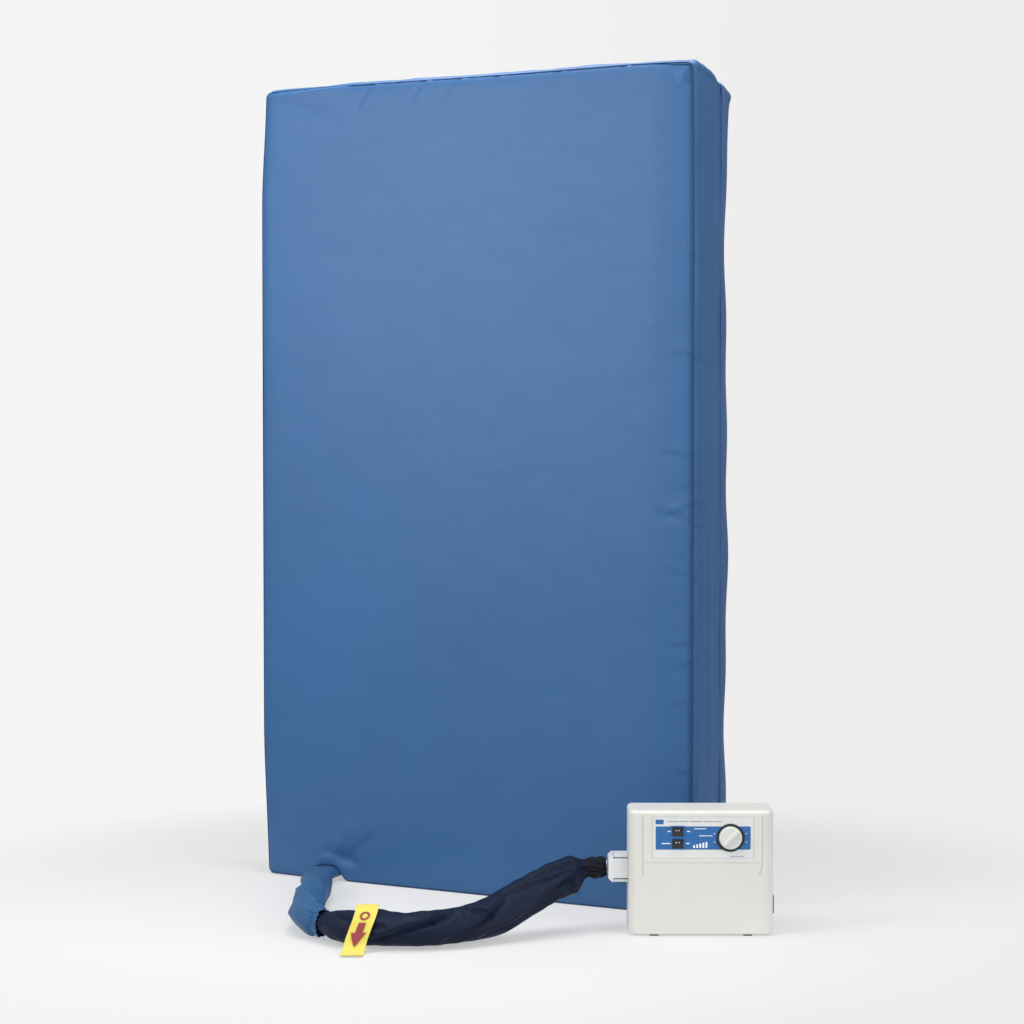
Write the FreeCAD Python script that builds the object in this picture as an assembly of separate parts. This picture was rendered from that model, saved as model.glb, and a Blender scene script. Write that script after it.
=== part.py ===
import FreeCAD, Part
import math
import os
from FreeCAD import Placement, Rotation, Vector

# Pressure relief mattress, alternating-air type, standing on its foot end, with its pump
# and the sleeved hose between them. Millimetres. The origin is the middle of the foot end,
# on the floor: +X across the width, +Y from the patient's side to the base, +Z along the
# length towards the head.

os.makedirs("parts", exist_ok=True)

# ---------------------------------------------------------------- driving dimensions
WIDTH = 1200.0           # mattress, across the bed
LENGTH = 2000.0          # mattress, head to foot
THICKNESS = 190.0        # mattress, patient's side to base
CLOTH = 1.5              # coated cover cloth
FLAP_GAP = 14.0          # room for the zip behind the cover's flap
ZIP_Y = 71.0             # middle of the zip, measured from the mattress's mid plane
FLAP_END_Y = 90.0        # free edge of the flap that hides the zip
FOAM_TOP_Y = 29.0        # where the foam base starts and the cells end
BOLSTER = 96.0           # side bolsters, across the bed
END_BOLSTER = 67.0       # head and foot bolsters, along the bed
CELL_COUNT = 16
CELL_WALL = 0.8
CELL_GAP = 0.6
MANIFOLD_R = 6.0

OUTLET_X = -425.0        # hose outlet in the foot end, near one corner
OUTLET_WIDTH = 104.0
OUTLET_HEIGHT = 42.0
OUTLET_DEPTH = 65.0
HOSE_D = 30.0            # bundle of air lines in one jacket
SLEEVE_R = 40.0          # padded fabric sleeve over the hose
SLEEVE_BORE_R = 17.0

PUMP_WIDTH = 328.0
PUMP_DEPTH = 132.0
PUMP_HEIGHT = 286.0
FOOT_HEIGHT = 4.0
WALL = 3.0
PUMP_YAW = 29.4          # degrees, the pump's front turns to the mattress's right
PUMP_AT = Vector(715.0, -286.0, 0.0)
SOCKET_Y = 65.0          # hose socket's centre on the pump's left side
SOCKET_Z = 149.0
CONNECTOR_LENGTH = 44.7
CONNECTOR_HEIGHT = 62.0
CONNECTOR_DEPTH = 60.0

HALF_W = WIDTH / 2
CORNER_R = 14.0          # the cover's four corners, seen from the patient's side
HALF_T = THICKNESS / 2
PUMP_SIDE = PUMP_WIDTH / 2

# Hose route: centre points chosen by hand, from the outlet to the connector.
HOSE_ROUTE = [
    Vector(-425, -30, 20),
    Vector(-425, -128, 20),
    Vector(-356, -240, 30),
    Vector(-262, -388, 41),
    Vector(-178, -548, 42),
    Vector(-112, -664, 41),
    Vector(-42, -737, 41),
    Vector(56, -764, 41),
    Vector(150, -757, 41),
    Vector(226, -728, 41),
    Vector(288, -664, 43),
    Vector(326, -570, 60),
    Vector(366, -474, 100),
    Vector(425.6, -374.5, 144),
    Vector(499.6, -332.7, 149),
]


# ---------------------------------------------------------------- helpers
def box(x, y, z):
    """A block from (low, high) pairs."""
    return Part.makeBox(x[1] - x[0], y[1] - y[0], z[1] - z[0], Vector(x[0], y[0], z[0]))


def cylinder(radius, start, end):
    """A round bar between two points."""
    start, end = Vector(*start), Vector(*end)
    return Part.makeCylinder(radius, (end - start).Length, start, end - start)


def edges_along(shape, direction):
    """Straight edges of a shape that run along a direction."""
    found = []
    for edge in shape.Edges:
        if edge.Curve.TypeId != "Part::GeomLine":
            continue
        if abs(edge.Curve.Direction.dot(direction)) > 0.999:
            found.append(edge)
    return found


def edges_on_plane(shape, axis, value):
    """Edges that lie wholly in the plane axis = value, with axis 0, 1 or 2."""
    found = []
    for edge in shape.Edges:
        bound = edge.BoundBox
        low = (bound.XMin, bound.YMin, bound.ZMin)[axis]
        high = (bound.XMax, bound.YMax, bound.ZMax)[axis]
        if abs(low - value) < 1e-3 and abs(high - value) < 1e-3:
            found.append(edge)
    return found


def cut_all(shape, tools):
    for tool in tools:
        shape = shape.cut(tool)
    return shape


def fuse_all(shapes):
    whole = shapes[0]
    for shape in shapes[1:]:
        whole = whole.fuse(shape)
    return whole.removeSplitter()


def save(name, shape):
    """Write one node, and report its size, so that a broken solid shows at once."""
    assert shape.isValid() and shape.Solids, name
    assert all(solid.Volume > 0 for solid in shape.Solids), name
    shape.exportStep("parts/%s.step" % name)
    bound = shape.BoundBox
    print("%-22s solids %2d  volume %9.1f cm3  x %7.1f..%7.1f  y %7.1f..%7.1f  z %7.1f..%7.1f" % (
        name, len(shape.Solids), shape.Volume / 1000.0,
        bound.XMin, bound.XMax, bound.YMin, bound.YMax, bound.ZMin, bound.ZMax))


# ---------------------------------------------------------------- mattress
def outlet_tunnel(grow):
    """The arched recess in the foot end that the sleeved hose runs out through."""
    half = OUTLET_WIDTH / 2 + grow
    top = OUTLET_HEIGHT + grow
    block = box((OUTLET_X - half, OUTLET_X + half), (-HALF_T - 1, -HALF_T + OUTLET_DEPTH), (-1, top))
    return block.makeFillet(18.0 + grow, [edge for edge in edges_along(block, Vector(0, 1, 0))
                                          if edge.BoundBox.ZMin > 0])


def top_cover():
    """Stretch cover: patient's side, four sides, and the flap that hangs over the zip."""
    outer = box((-HALF_W, HALF_W), (-HALF_T, FLAP_END_Y), (0, LENGTH))
    outer = outer.makeFillet(CORNER_R, edges_along(outer, Vector(0, 1, 0)))
    inner = box((-HALF_W + CLOTH, HALF_W - CLOTH), (-HALF_T + CLOTH, FLAP_END_Y + 1),
                (CLOTH, LENGTH - CLOTH))
    inner = inner.makeFillet(CORNER_R - CLOTH, edges_along(inner, Vector(0, 1, 0)))
    shell = outer.cut(inner)
    lining = outlet_tunnel(CLOTH).common(outer)
    return shell.fuse(lining).cut(outlet_tunnel(0.0)).removeSplitter()


def frame_ring(outset, thick, y):
    """A flat ring round the mattress: outset from the cover's outer edge, thick inwards."""
    outer = box((-HALF_W + outset, HALF_W - outset), y, (outset, LENGTH - outset))
    if outset < CORNER_R - 1:
        outer = outer.makeFillet(CORNER_R - outset, edges_along(outer, Vector(0, 1, 0)))
    inset = outset + thick
    inner = box((-HALF_W + inset, HALF_W - inset), (y[0] - 1, y[1] + 1), (inset, LENGTH - inset))
    return outer.cut(inner)


def cover_zip():
    """Zip tape all round behind the flap, with its coil and the strip that joins the cover."""
    tape = frame_ring(FLAP_GAP, CLOTH, (52.0, 79.5))
    coil = frame_ring(FLAP_GAP - 3.0, 3.0, (ZIP_Y - 3.0, ZIP_Y + 3.0))
    join = frame_ring(CLOTH, FLAP_GAP - CLOTH, (52.0, 55.0))
    return fuse_all([tape, coil, join])


def base_cover():
    """Tougher base panel with a shallow rim up to the zip."""
    outer = box((-HALF_W + FLAP_GAP, HALF_W - FLAP_GAP), (79.5, HALF_T), (FLAP_GAP, LENGTH - FLAP_GAP))
    inset = FLAP_GAP + CLOTH
    inner = box((-HALF_W + inset, HALF_W - inset), (78, HALF_T - CLOTH), (inset, LENGTH - inset))
    return outer.cut(inner)


SLIDER_Z = LENGTH - 60.0
SLIDER_X = HALF_W - FLAP_GAP + 3.5
PULL_X = SLIDER_X + 4.0


def zip_slider():
    """Slider over the coil on the right side, near the head, with a stud for its pull."""
    half_y, half_z = 7.0, 9.0
    plate = box((SLIDER_X, SLIDER_X + 2.5), (ZIP_Y - half_y, ZIP_Y + half_y),
                (SLIDER_Z - half_z, SLIDER_Z + half_z))
    flanges = [box((SLIDER_X - 3.0, SLIDER_X), (ZIP_Y + low, ZIP_Y + high),
                   (SLIDER_Z - half_z, SLIDER_Z + half_z)) for low, high in ((-7.0, -3.5), (3.5, 7.0))]
    stud = cylinder(1.5, (SLIDER_X + 2.0, ZIP_Y, SLIDER_Z - 5), (PULL_X + 2.2, ZIP_Y, SLIDER_Z - 5))
    head = cylinder(3.0, (PULL_X + 2.2, ZIP_Y, SLIDER_Z - 5), (PULL_X + 3.0, ZIP_Y, SLIDER_Z - 5))
    return fuse_all([plate, *flanges, stud, head])


def zip_pull():
    """Flat pull that hangs from the stud and swivels out past the flap."""
    z = SLIDER_Z - 5
    tab = box((PULL_X - 0.9, PULL_X + 0.9), (ZIP_Y - 5, ZIP_Y + 5), (z - 38, z))
    tab = tab.fuse(cylinder(5.0, (PULL_X - 0.9, ZIP_Y, z), (PULL_X + 0.9, ZIP_Y, z)))
    hole = cylinder(1.58, (PULL_X - 2, ZIP_Y, z), (PULL_X + 2, ZIP_Y, z))
    finger = cylinder(2.6, (PULL_X - 2, ZIP_Y, z - 31), (PULL_X + 2, ZIP_Y, z - 31))
    return tab.cut(hole).cut(finger).removeSplitter()


INNER_X = HALF_W - 4.0
CELL_Y = (-HALF_T + 3.0, FOAM_TOP_Y - 1.0)
CELLS_Z = (3.0 + END_BOLSTER + 1.0, LENGTH - 3.0 - END_BOLSTER - 1.0)
CELL_PITCH = (CELLS_Z[1] - CELLS_Z[0]) / CELL_COUNT
CELL_X = (-INNER_X + BOLSTER + 20.0, INNER_X - BOLSTER - 1.0)
MANIFOLD_X = -INNER_X + BOLSTER + 10.0
MANIFOLD_YS = (-24.0, -8.0)


def foam_base():
    foam = box((-HALF_W + 18, HALF_W - 18), (FOAM_TOP_Y, HALF_T - 2.5), (18, LENGTH - 18))
    return foam.makeFillet(8.0, edges_along(foam, Vector(0, 1, 0)))


def side_bolster(side):
    reach = sorted((side * INNER_X, side * (INNER_X - BOLSTER)))
    foam = box(reach, CELL_Y, CELLS_Z)
    return foam.makeFillet(12.0, edges_along(foam, Vector(0, 0, 1)))


def end_bolster(z, edge_r):
    """Foam across one end, rounded to follow the cover's corners."""
    foam = box((-INNER_X, INNER_X), CELL_Y, z)
    foam = foam.makeFillet(edge_r, edges_along(foam, Vector(1, 0, 0)))
    outline = box((-INNER_X, INNER_X), CELL_Y, (3.0, LENGTH - 3.0))
    outline = outline.makeFillet(CORNER_R, edges_along(outline, Vector(0, 1, 0)))
    return foam.common(outline)


def head_bolster():
    return end_bolster((LENGTH - 3.0 - END_BOLSTER, LENGTH - 3.0), 12.0)


GLAND_BLOCK = ((OUTLET_X - 84, OUTLET_X + 56), (-HALF_T + OUTLET_DEPTH + CLOTH, 4.0), (3.0, 58.0))


def foot_bolster():
    """Foot-end foam, cut away round the outlet and its gland."""
    foam = end_bolster((3.0, 3.0 + END_BOLSTER), 10.0)
    room = box((GLAND_BLOCK[0][0] - 2, GLAND_BLOCK[0][1] + 2), (-HALF_T - 1, 6.0), (-1, LENGTH))
    return foam.cut(room)


def outlet_gland():
    """Rubber block at the end of the outlet recess; the hose and both manifolds end in it."""
    block = box(*GLAND_BLOCK)
    block = block.makeFillet(6.0, edges_along(block, Vector(0, 1, 0)))
    collar = cylinder(19.0, (OUTLET_X, GLAND_BLOCK[1][0] - CLOTH, 22), (OUTLET_X, GLAND_BLOCK[1][0] + 1, 22))
    return block.fuse(collar).removeSplitter()


def air_cell(index):
    """One transverse air cell, a closed hollow bladder with rounded sides."""
    low = CELLS_Z[0] + index * CELL_PITCH + CELL_GAP / 2
    high = low + CELL_PITCH - CELL_GAP
    outer = box(CELL_X, CELL_Y, (low, high))
    outer = outer.makeFillet(50.0, edges_along(outer, Vector(1, 0, 0)))
    wall = CELL_WALL
    inner = box((CELL_X[0] + wall, CELL_X[1] - wall), (CELL_Y[0] + wall, CELL_Y[1] - wall),
                (low + wall, high - wall))
    inner = inner.makeFillet(50.0 - wall, edges_along(inner, Vector(1, 0, 0)))
    return outer.cut(inner)


def air_manifold(which):
    """Supply tube along the cells, with a stub into every second cell."""
    y = MANIFOLD_YS[which]
    top = CELLS_Z[0] + (CELL_COUNT - 1 + which - 0.5) * CELL_PITCH + 20.0
    parts = [cylinder(MANIFOLD_R, (MANIFOLD_X, y, GLAND_BLOCK[2][1]), (MANIFOLD_X, y, top))]
    for index in range(which, CELL_COUNT, 2):
        z = CELLS_Z[0] + (index + 0.5) * CELL_PITCH
        parts.append(cylinder(4.0, (MANIFOLD_X, y, z), (CELL_X[0], y, z)))
    return fuse_all(parts)


STRAP_ZS = (380.0, 1620.0)
STRAP_Y = (HALF_T, HALF_T + 2.0)
STRAP_INNER_X = 44.0
STRAP_OUTER_X = 540.0
BUCKLE_Y = (HALF_T + 2.0, HALF_T + 9.0)


def base_straps():
    """Four webbing straps on the base that tie the mattress to the bed frame."""
    straps = []
    for z in STRAP_ZS:
        for side in (-1, 1):
            reach = sorted((side * STRAP_INNER_X, side * STRAP_OUTER_X))
            straps.append(box(reach, STRAP_Y, (z - 20, z + 20)))
    return Part.makeCompound(straps)


def strap_buckles():
    """Side-release buckles, one on the straps' inner ends at each height."""
    buckles = []
    for z in STRAP_ZS:
        body = box((-60.0, 60.0), BUCKLE_Y, (z - 24, z + 24))
        body = body.makeFillet(6.0, edges_along(body, Vector(0, 1, 0)))
        slots = [box(sorted((side * 44.0, side * 52.0)), (BUCKLE_Y[0] - 1, BUCKLE_Y[1] + 1), (z - 20, z + 20))
                 for side in (-1, 1)]
        prong_gaps = [box((-8.0, 22.0), (BUCKLE_Y[0] + 2, BUCKLE_Y[1] + 1), (z + low, z + low + 5.0))
                      for low in (-14.0, 9.0)]
        buckles.append(cut_all(body, slots + prong_gaps))
    return Part.makeCompound(buckles)


# ---------------------------------------------------------------- hose and its sleeves
def corner_arcs(points):
    """Arc at each inner point of a route: 0.45 of the shorter run over tan(half the turn)."""
    arcs = []
    for before, corner, after in zip(points, points[1:], points[2:]):
        into, out = corner - before, after - corner
        turn = into.getAngle(out)
        setback = 0.45 * min(into.Length, out.Length)
        radius = setback / math.tan(turn / 2)
        into.normalize()
        out.normalize()
        start, end = corner - into * setback, corner + out * setback
        inward = out - into
        inward.normalize()
        middle = corner + inward * (radius / math.cos(turn / 2) - radius)
        arcs.append((start, middle, end, radius))
        print("hose corner turn %5.1f deg, radius %6.1f mm" % (math.degrees(turn), radius))
    return arcs


HOSE_ARCS = corner_arcs(HOSE_ROUTE)


def run_point(run, share):
    """A point on the route's numbered run, share of the way along it."""
    return HOSE_ROUTE[run] + (HOSE_ROUTE[run + 1] - HOSE_ROUTE[run]) * share


def route_path(start, first_arc, last_arc, end):
    """The route's runs and arcs between two points that lie on its straight parts."""
    edges = []
    here = start
    for arc_start, middle, arc_end, radius in HOSE_ARCS[first_arc:last_arc]:
        if here.distanceToPoint(arc_start) > 1e-6:
            edges.append(Part.LineSegment(here, arc_start).toShape())
        edges.append(Part.Arc(arc_start, middle, arc_end).toShape())
        here = arc_end
    edges.append(Part.LineSegment(here, end).toShape())
    return Part.Wire(edges)


def tube_along(path, radius):
    start = path.Edges[0]
    ring = Part.makeCircle(radius, start.valueAt(start.FirstParameter),
                           start.tangentAt(start.FirstParameter))
    return path.makePipeShell([Part.Wire(ring)], True, False)


LAST_RUN = len(HOSE_ROUTE) - 2
JOIN_RUN = 6                             # the run with the blue sleeve's mouth
COLLAR_RUN = 2                           # the run where the blue sleeve has become round
SLEEVE_JOIN = run_point(JOIN_RUN, 0.50)
COLLAR_END = run_point(COLLAR_RUN, 0.5)
NAVY_END = run_point(LAST_RUN, 0.46)
CUFF_START = run_point(LAST_RUN, 0.64)
CUFF_END = run_point(LAST_RUN, 0.98)


def air_hose():
    path = route_path(HOSE_ROUTE[0], 0, LAST_RUN, HOSE_ROUTE[-1])
    hose = tube_along(path, HOSE_D / 2)
    section = math.pi * (HOSE_D / 2) ** 2
    print("hose length %.1f mm, volume %.1f, section x length %.1f cm3" % (
        path.Length, hose.Volume / 1000, section * path.Length / 1000))
    return hose


def blue_sleeve():
    """First sleeve: flat where it leaves the mattress, then a round puffed tube."""
    bore = tube_along(route_path(HOSE_ROUTE[0], 0, JOIN_RUN, SLEEVE_JOIN), SLEEVE_BORE_R)
    round_radius = SLEEVE_R - 6.0
    round_part = tube_along(route_path(COLLAR_END, COLLAR_RUN, JOIN_RUN, SLEEVE_JOIN), round_radius)
    mouth_at = Vector(OUTLET_X, -HALF_T + 8, 21)
    mouth = Part.Wire(Part.Ellipse(mouth_at, 47.0, 18.0).toShape())
    mouth.rotate(mouth_at, Vector(1, 0, 0), 90)
    ring = Part.Wire(Part.makeCircle(round_radius, COLLAR_END, HOSE_ROUTE[COLLAR_RUN + 1] - COLLAR_END))
    collar = Part.makeLoft([mouth, ring], True)
    return fuse_all([collar, round_part]).cut(bore)


def navy_sleeve():
    """Second sleeve: a round padded tube that closes in to a narrow end."""
    bore = tube_along(route_path(SLEEVE_JOIN, JOIN_RUN, LAST_RUN, HOSE_ROUTE[-1]), SLEEVE_BORE_R)
    outer = tube_along(route_path(SLEEVE_JOIN, JOIN_RUN, LAST_RUN, NAVY_END), SLEEVE_R)
    taper = Part.makeCone(SLEEVE_R, 22.0, NAVY_END.distanceToPoint(CUFF_START), NAVY_END,
                          CUFF_START - NAVY_END)
    return fuse_all([outer, taper]).cut(bore)


def sleeve_cuff():
    """Black elastic cuff that gathers the sleeve's end on the hose, up to the connector."""
    along = CUFF_END - CUFF_START
    cuff = Part.makeCone(21.5, 18.0, along.Length, CUFF_START, along)
    return cuff.cut(cylinder(HOSE_D / 2, tuple(CUFF_START - along), tuple(CUFF_END + along)))


# ---------------------------------------------------------------- quick-release strap
STRAP_AT = Vector(116, -759, 0)           # where the strap crosses the navy sleeve
STRAP_YAW = 29.4


def cpr_strap():
    """Yellow strap over the navy sleeve: it lies on top, turns down and ends on the floor."""
    thick, half_width = 2.0, 25.0
    top = SLEEVE_R * 2 + 6.0
    front = -(SLEEVE_R + 8.0)
    outline = [(30, top), (front - 4, top), (-112, 0.6), (-128, 0.6), (-128, 0.6 + thick),
               (-113.2, 0.6 + thick), (front - 5.2, top + thick), (30, top + thick)]
    corners = [Vector(-half_width, y, z) for y, z in outline]
    face = Part.Face(Part.makePolygon(corners + corners[:1]))
    strap = face.extrude(Vector(2 * half_width, 0, 0))
    strap.Placement = Placement(STRAP_AT, Rotation(Vector(0, 0, 1), STRAP_YAW))
    return strap


# ---------------------------------------------------------------- pump
def in_pump(shape):
    """Stand a piece drawn in the pump's own axes where the pump stands."""
    shape = shape.copy()
    shape.Placement = Placement(PUMP_AT, Rotation(Vector(0, 0, 1), PUMP_YAW)).multiply(shape.Placement)
    return shape


CASE_X = (-PUMP_SIDE, PUMP_SIDE)
CASE_Z = (FOOT_HEIGHT, PUMP_HEIGHT)
SPLIT_Y = 66.0
FRONT_CORNER_R = 24.0
BACK_CORNER_R = 14.0
TOP_EDGE_R = 9.0
BOTTOM_EDGE_R = 3.0
LABEL_X = (-107.0, 117.0)
LABEL_Z = (173.5, 276.0)
LABEL_THICK = 1.2
KNOB_X, KNOB_Z = 65.5, 224.6
ROCKER_X = -53.7
ROCKER_ZS = (239.0, 211.6)
BEZEL_X = (ROCKER_X - 16.2, ROCKER_X + 16.2)
BEZEL_Z = (198.9, 251.7)
SCREW_AT = [(x, z) for x in (-142.0, 142.0) for z in (30.0, 262.0)]
FILTER_X = (70.0, 130.0)
FILTER_Z = (40.0, 96.0)
INLET_Y = (52.0, 82.0)
INLET_Z = (42.0, 83.0)
HOOK_XS = (-95.0, 95.0)
HOOK_Z = 205.0
HOOK_Y = PUMP_DEPTH + 9.0


def case_form(inset):
    """The case's outer form, or its inner one: round in plan, and softened above and below."""
    form = box((CASE_X[0] + inset, CASE_X[1] - inset), (inset, PUMP_DEPTH - inset),
               (CASE_Z[0] + inset, CASE_Z[1] - inset))
    upright = edges_along(form, Vector(0, 0, 1))
    middle = PUMP_DEPTH / 2
    form = form.makeFillet(FRONT_CORNER_R - inset, [edge for edge in upright if edge.BoundBox.YMax < middle])
    upright = [edge for edge in edges_along(form, Vector(0, 0, 1)) if edge.BoundBox.YMin > PUMP_DEPTH - inset - 1]
    form = form.makeFillet(BACK_CORNER_R - inset, upright)
    form = form.makeFillet(TOP_EDGE_R - inset, edges_on_plane(form, 2, CASE_Z[1] - inset))
    return form.makeFillet(BOTTOM_EDGE_R, edges_on_plane(form, 2, CASE_Z[0] + inset))


def half_case(y):
    """One hollow half of the case, open at the parting face."""
    slab = box((CASE_X[0] - 1, CASE_X[1] + 1), y, (CASE_Z[0] - 1, CASE_Z[1] + 1))
    return case_form(0.0).common(slab).cut(case_form(WALL))


def side_groove(x, bottom, flare):
    """Moulded line down the front face, which turns outwards at its lower end."""
    straight = box((x - 1.3, x + 1.3), (-1, 1.3), (bottom, LABEL_Z[1] - 2))
    foot = box((x - 1.3, x + 1.3), (-1, 1.3), (bottom - 22.0, bottom))
    foot.rotate(Vector(x, 0, bottom), Vector(0, 1, 0), flare)
    return straight.fuse(foot)


def front_case():
    case = half_case((0.0, SPLIT_Y))
    label = box(LABEL_X, (-1, LABEL_THICK), LABEL_Z)
    label = label.makeFillet(3.0, edges_along(label, Vector(0, 1, 0)))
    crease = box((-133.0, 138.0), (-1, 0.8), (166.4, 168.4))
    shaft = cylinder(3.05, (KNOB_X, -2, KNOB_Z), (KNOB_X, 10, KNOB_Z))
    switch_hole = box(BEZEL_X, (-2, 10), BEZEL_Z)
    socket_hole = box((-PUMP_SIDE - 1, -PUMP_SIDE + WALL + 1), (SOCKET_Y - 27, SPLIT_Y + 1),
                      (SOCKET_Z - 32, SOCKET_Z + 32))
    inlet_hole = box((PUMP_SIDE - WALL - 1, PUMP_SIDE + 1), (INLET_Y[0] + 3, SPLIT_Y + 1),
                     (INLET_Z[0] + 3, INLET_Z[1] - 3))
    return cut_all(case, [label, crease, side_groove(-133.0, 160.0, 0.0), side_groove(138.0, 160.0, 20.0),
                          shaft, switch_hole, socket_hole, inlet_hole])


def hook_ears():
    """Pairs of ears on the back that carry the hooks' pins."""
    ears = []
    for x in HOOK_XS:
        for side in (-1, 1):
            reach = sorted((x + side * 13.5, x + side * 18.5))
            ear = box(reach, (PUMP_DEPTH - 1, HOOK_Y), (HOOK_Z - 8, HOOK_Z + 8))
            round_end = cylinder(8.0, (reach[0], HOOK_Y, HOOK_Z), (reach[1], HOOK_Y, HOOK_Z))
            ears.append(ear.fuse(round_end))
    return ears


def rear_case():
    case = half_case((SPLIT_Y, PUMP_DEPTH))
    case = fuse_all([case] + hook_ears())
    holes = [cylinder(3.05, (x - 20, HOOK_Y, HOOK_Z), (x + 20, HOOK_Y, HOOK_Z)) for x in HOOK_XS]
    holes += [cylinder(4.6, (x, PUMP_DEPTH - 1.6, z), (x, PUMP_DEPTH + 2, z)) for x, z in SCREW_AT]
    holes += [cylinder(2.1, (x, PUMP_DEPTH - 10, z), (x, PUMP_DEPTH + 2, z)) for x, z in SCREW_AT]
    holes += [box((-120.0 + 12 * step, -115.0 + 12 * step), (PUMP_DEPTH - 5, PUMP_DEPTH + 1), (40, 92))
              for step in range(9)]
    holes.append(box(FILTER_X, (PUMP_DEPTH - 5, PUMP_DEPTH + 1), FILTER_Z))
    holes.append(box((-PUMP_SIDE - 1, -PUMP_SIDE + WALL + 1), (SPLIT_Y - 1, SOCKET_Y + 27),
                     (SOCKET_Z - 32, SOCKET_Z + 32)))
    holes.append(box((PUMP_SIDE - WALL - 1, PUMP_SIDE + 1), (SPLIT_Y - 1, INLET_Y[1] - 3),
                     (INLET_Z[0] + 3, INLET_Z[1] - 3)))
    return cut_all(case, holes)


def control_label():
    plate = box(LABEL_X, (0, LABEL_THICK), LABEL_Z)
    plate = plate.makeFillet(3.0, edges_along(plate, Vector(0, 1, 0)))
    shaft = cylinder(5.0, (KNOB_X, -2, KNOB_Z), (KNOB_X, 10, KNOB_Z))
    return plate.cut(shaft).cut(box(BEZEL_X, (-2, 10), BEZEL_Z))


def knob_ring():
    outer = Part.makeCone(32.0, 30.5, 3.0, Vector(KNOB_X, 0, KNOB_Z), Vector(0, -1, 0))
    return outer.cut(cylinder(27.4, (KNOB_X, 1, KNOB_Z), (KNOB_X, -4, KNOB_Z)))


def pressure_knob():
    """Round cap with a finger ridge across it, on a shaft into the case."""
    cap = Part.makeCone(26.6, 24.6, 11.0, Vector(KNOB_X, -0.6, KNOB_Z), Vector(0, -1, 0))
    cap = cap.makeFillet(2.0, [edge for edge in edges_on_plane(cap, 1, -11.6)])
    ridge = box((KNOB_X - 23.0, KNOB_X + 23.0), (-18.0, -10.0), (KNOB_Z - 4.5, KNOB_Z + 4.5))
    ridge = ridge.makeFillet(2.2, edges_on_plane(ridge, 1, -18.0))
    ridge.rotate(Vector(KNOB_X, 0, KNOB_Z), Vector(0, 1, 0), -45)
    shaft = cylinder(3.0, (KNOB_X, -1.0, KNOB_Z), (KNOB_X, 16.0, KNOB_Z))
    return fuse_all([cap, ridge, shaft])


def switch_bezel():
    """Frame with two windows that the rockers turn in."""
    frame = box(BEZEL_X, (-1.5, 10.0), BEZEL_Z)
    tools = []
    for z in ROCKER_ZS:
        tools.append(box((ROCKER_X - 13, ROCKER_X + 13), (-3, 12), (z - 10.7, z + 10.7)))
        tools.append(cylinder(1.55, (ROCKER_X - 14.6, 2, z), (ROCKER_X + 14.6, 2, z)))
    return cut_all(frame, tools)


def rocker(z):
    """Rocker cap with a shallow valley, and a stub pin at each side."""
    half, front, back = 9.6, -3.6, 7.0
    outline = [(back, -half), (front, -half), (-0.9, 0), (front, half), (back, half)]
    corners = [Vector(ROCKER_X - 12.5, y, z + up) for y, up in outline]
    face = Part.Face(Part.makePolygon(corners + corners[:1]))
    cap = face.extrude(Vector(25.0, 0, 0))
    pins = cylinder(1.5, (ROCKER_X - 14.3, 2, z), (ROCKER_X + 14.3, 2, z))
    return cap.fuse(pins).removeSplitter()


def hose_socket():
    """Block inside the left wall with two ports for the connector's nozzles."""
    block = box((-PUMP_SIDE, -PUMP_SIDE + 34), (SOCKET_Y - 27, SOCKET_Y + 27), (SOCKET_Z - 32, SOCKET_Z + 32))
    ports = [cylinder(7.0, (-PUMP_SIDE - 1, SOCKET_Y, SOCKET_Z + up),
                      (-PUMP_SIDE + 26, SOCKET_Y, SOCKET_Z + up)) for up in (-14.0, 14.0)]
    return cut_all(block, ports)


def mains_inlet():
    """Appliance inlet in the right wall, with its three blades."""
    flange = box((PUMP_SIDE, PUMP_SIDE + 5.0), INLET_Y, INLET_Z)
    flange = flange.makeFillet(3.0, edges_along(flange, Vector(1, 0, 0)))
    body = box((PUMP_SIDE - 22.0, PUMP_SIDE), (INLET_Y[0] + 3, INLET_Y[1] - 3),
               (INLET_Z[0] + 3, INLET_Z[1] - 3))
    middle_y, middle_z = sum(INLET_Y) / 2, sum(INLET_Z) / 2
    cavity = box((PUMP_SIDE - 14.0, PUMP_SIDE + 6), (middle_y - 8.5, middle_y + 8.5),
                 (middle_z - 12.5, middle_z + 12.5))
    blades = [box((PUMP_SIDE - 15.0, PUMP_SIDE - 2.0), (middle_y + y - 1, middle_y + y + 1),
                  (middle_z + z - 2, middle_z + z + 2)) for y, z in ((-3, -7), (-3, 7), (3, 0))]
    return fuse_all([flange.fuse(body).cut(cavity)] + blades)


def filter_cover():
    """Louvred cover that pulls straight off the back."""
    plate = box((FILTER_X[0] - 4, FILTER_X[1] + 4), (PUMP_DEPTH + 0.4, PUMP_DEPTH + 3.4),
                (FILTER_Z[0] - 4, FILTER_Z[1] + 4))
    plate = plate.makeFillet(4.0, edges_along(plate, Vector(0, 1, 0)))
    louvres = [box((FILTER_X[0] + 6, FILTER_X[1] - 6), (PUMP_DEPTH - 1, PUMP_DEPTH + 5),
                   (FILTER_Z[0] + 6 + 9 * step, FILTER_Z[0] + 10 + 9 * step)) for step in range(5)]
    return cut_all(plate, louvres)


def filter_foam():
    return box((FILTER_X[0] + 2, FILTER_X[1] - 2), (PUMP_DEPTH - 12, PUMP_DEPTH - 0.4),
               (FILTER_Z[0] + 2, FILTER_Z[1] - 2))


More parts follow.
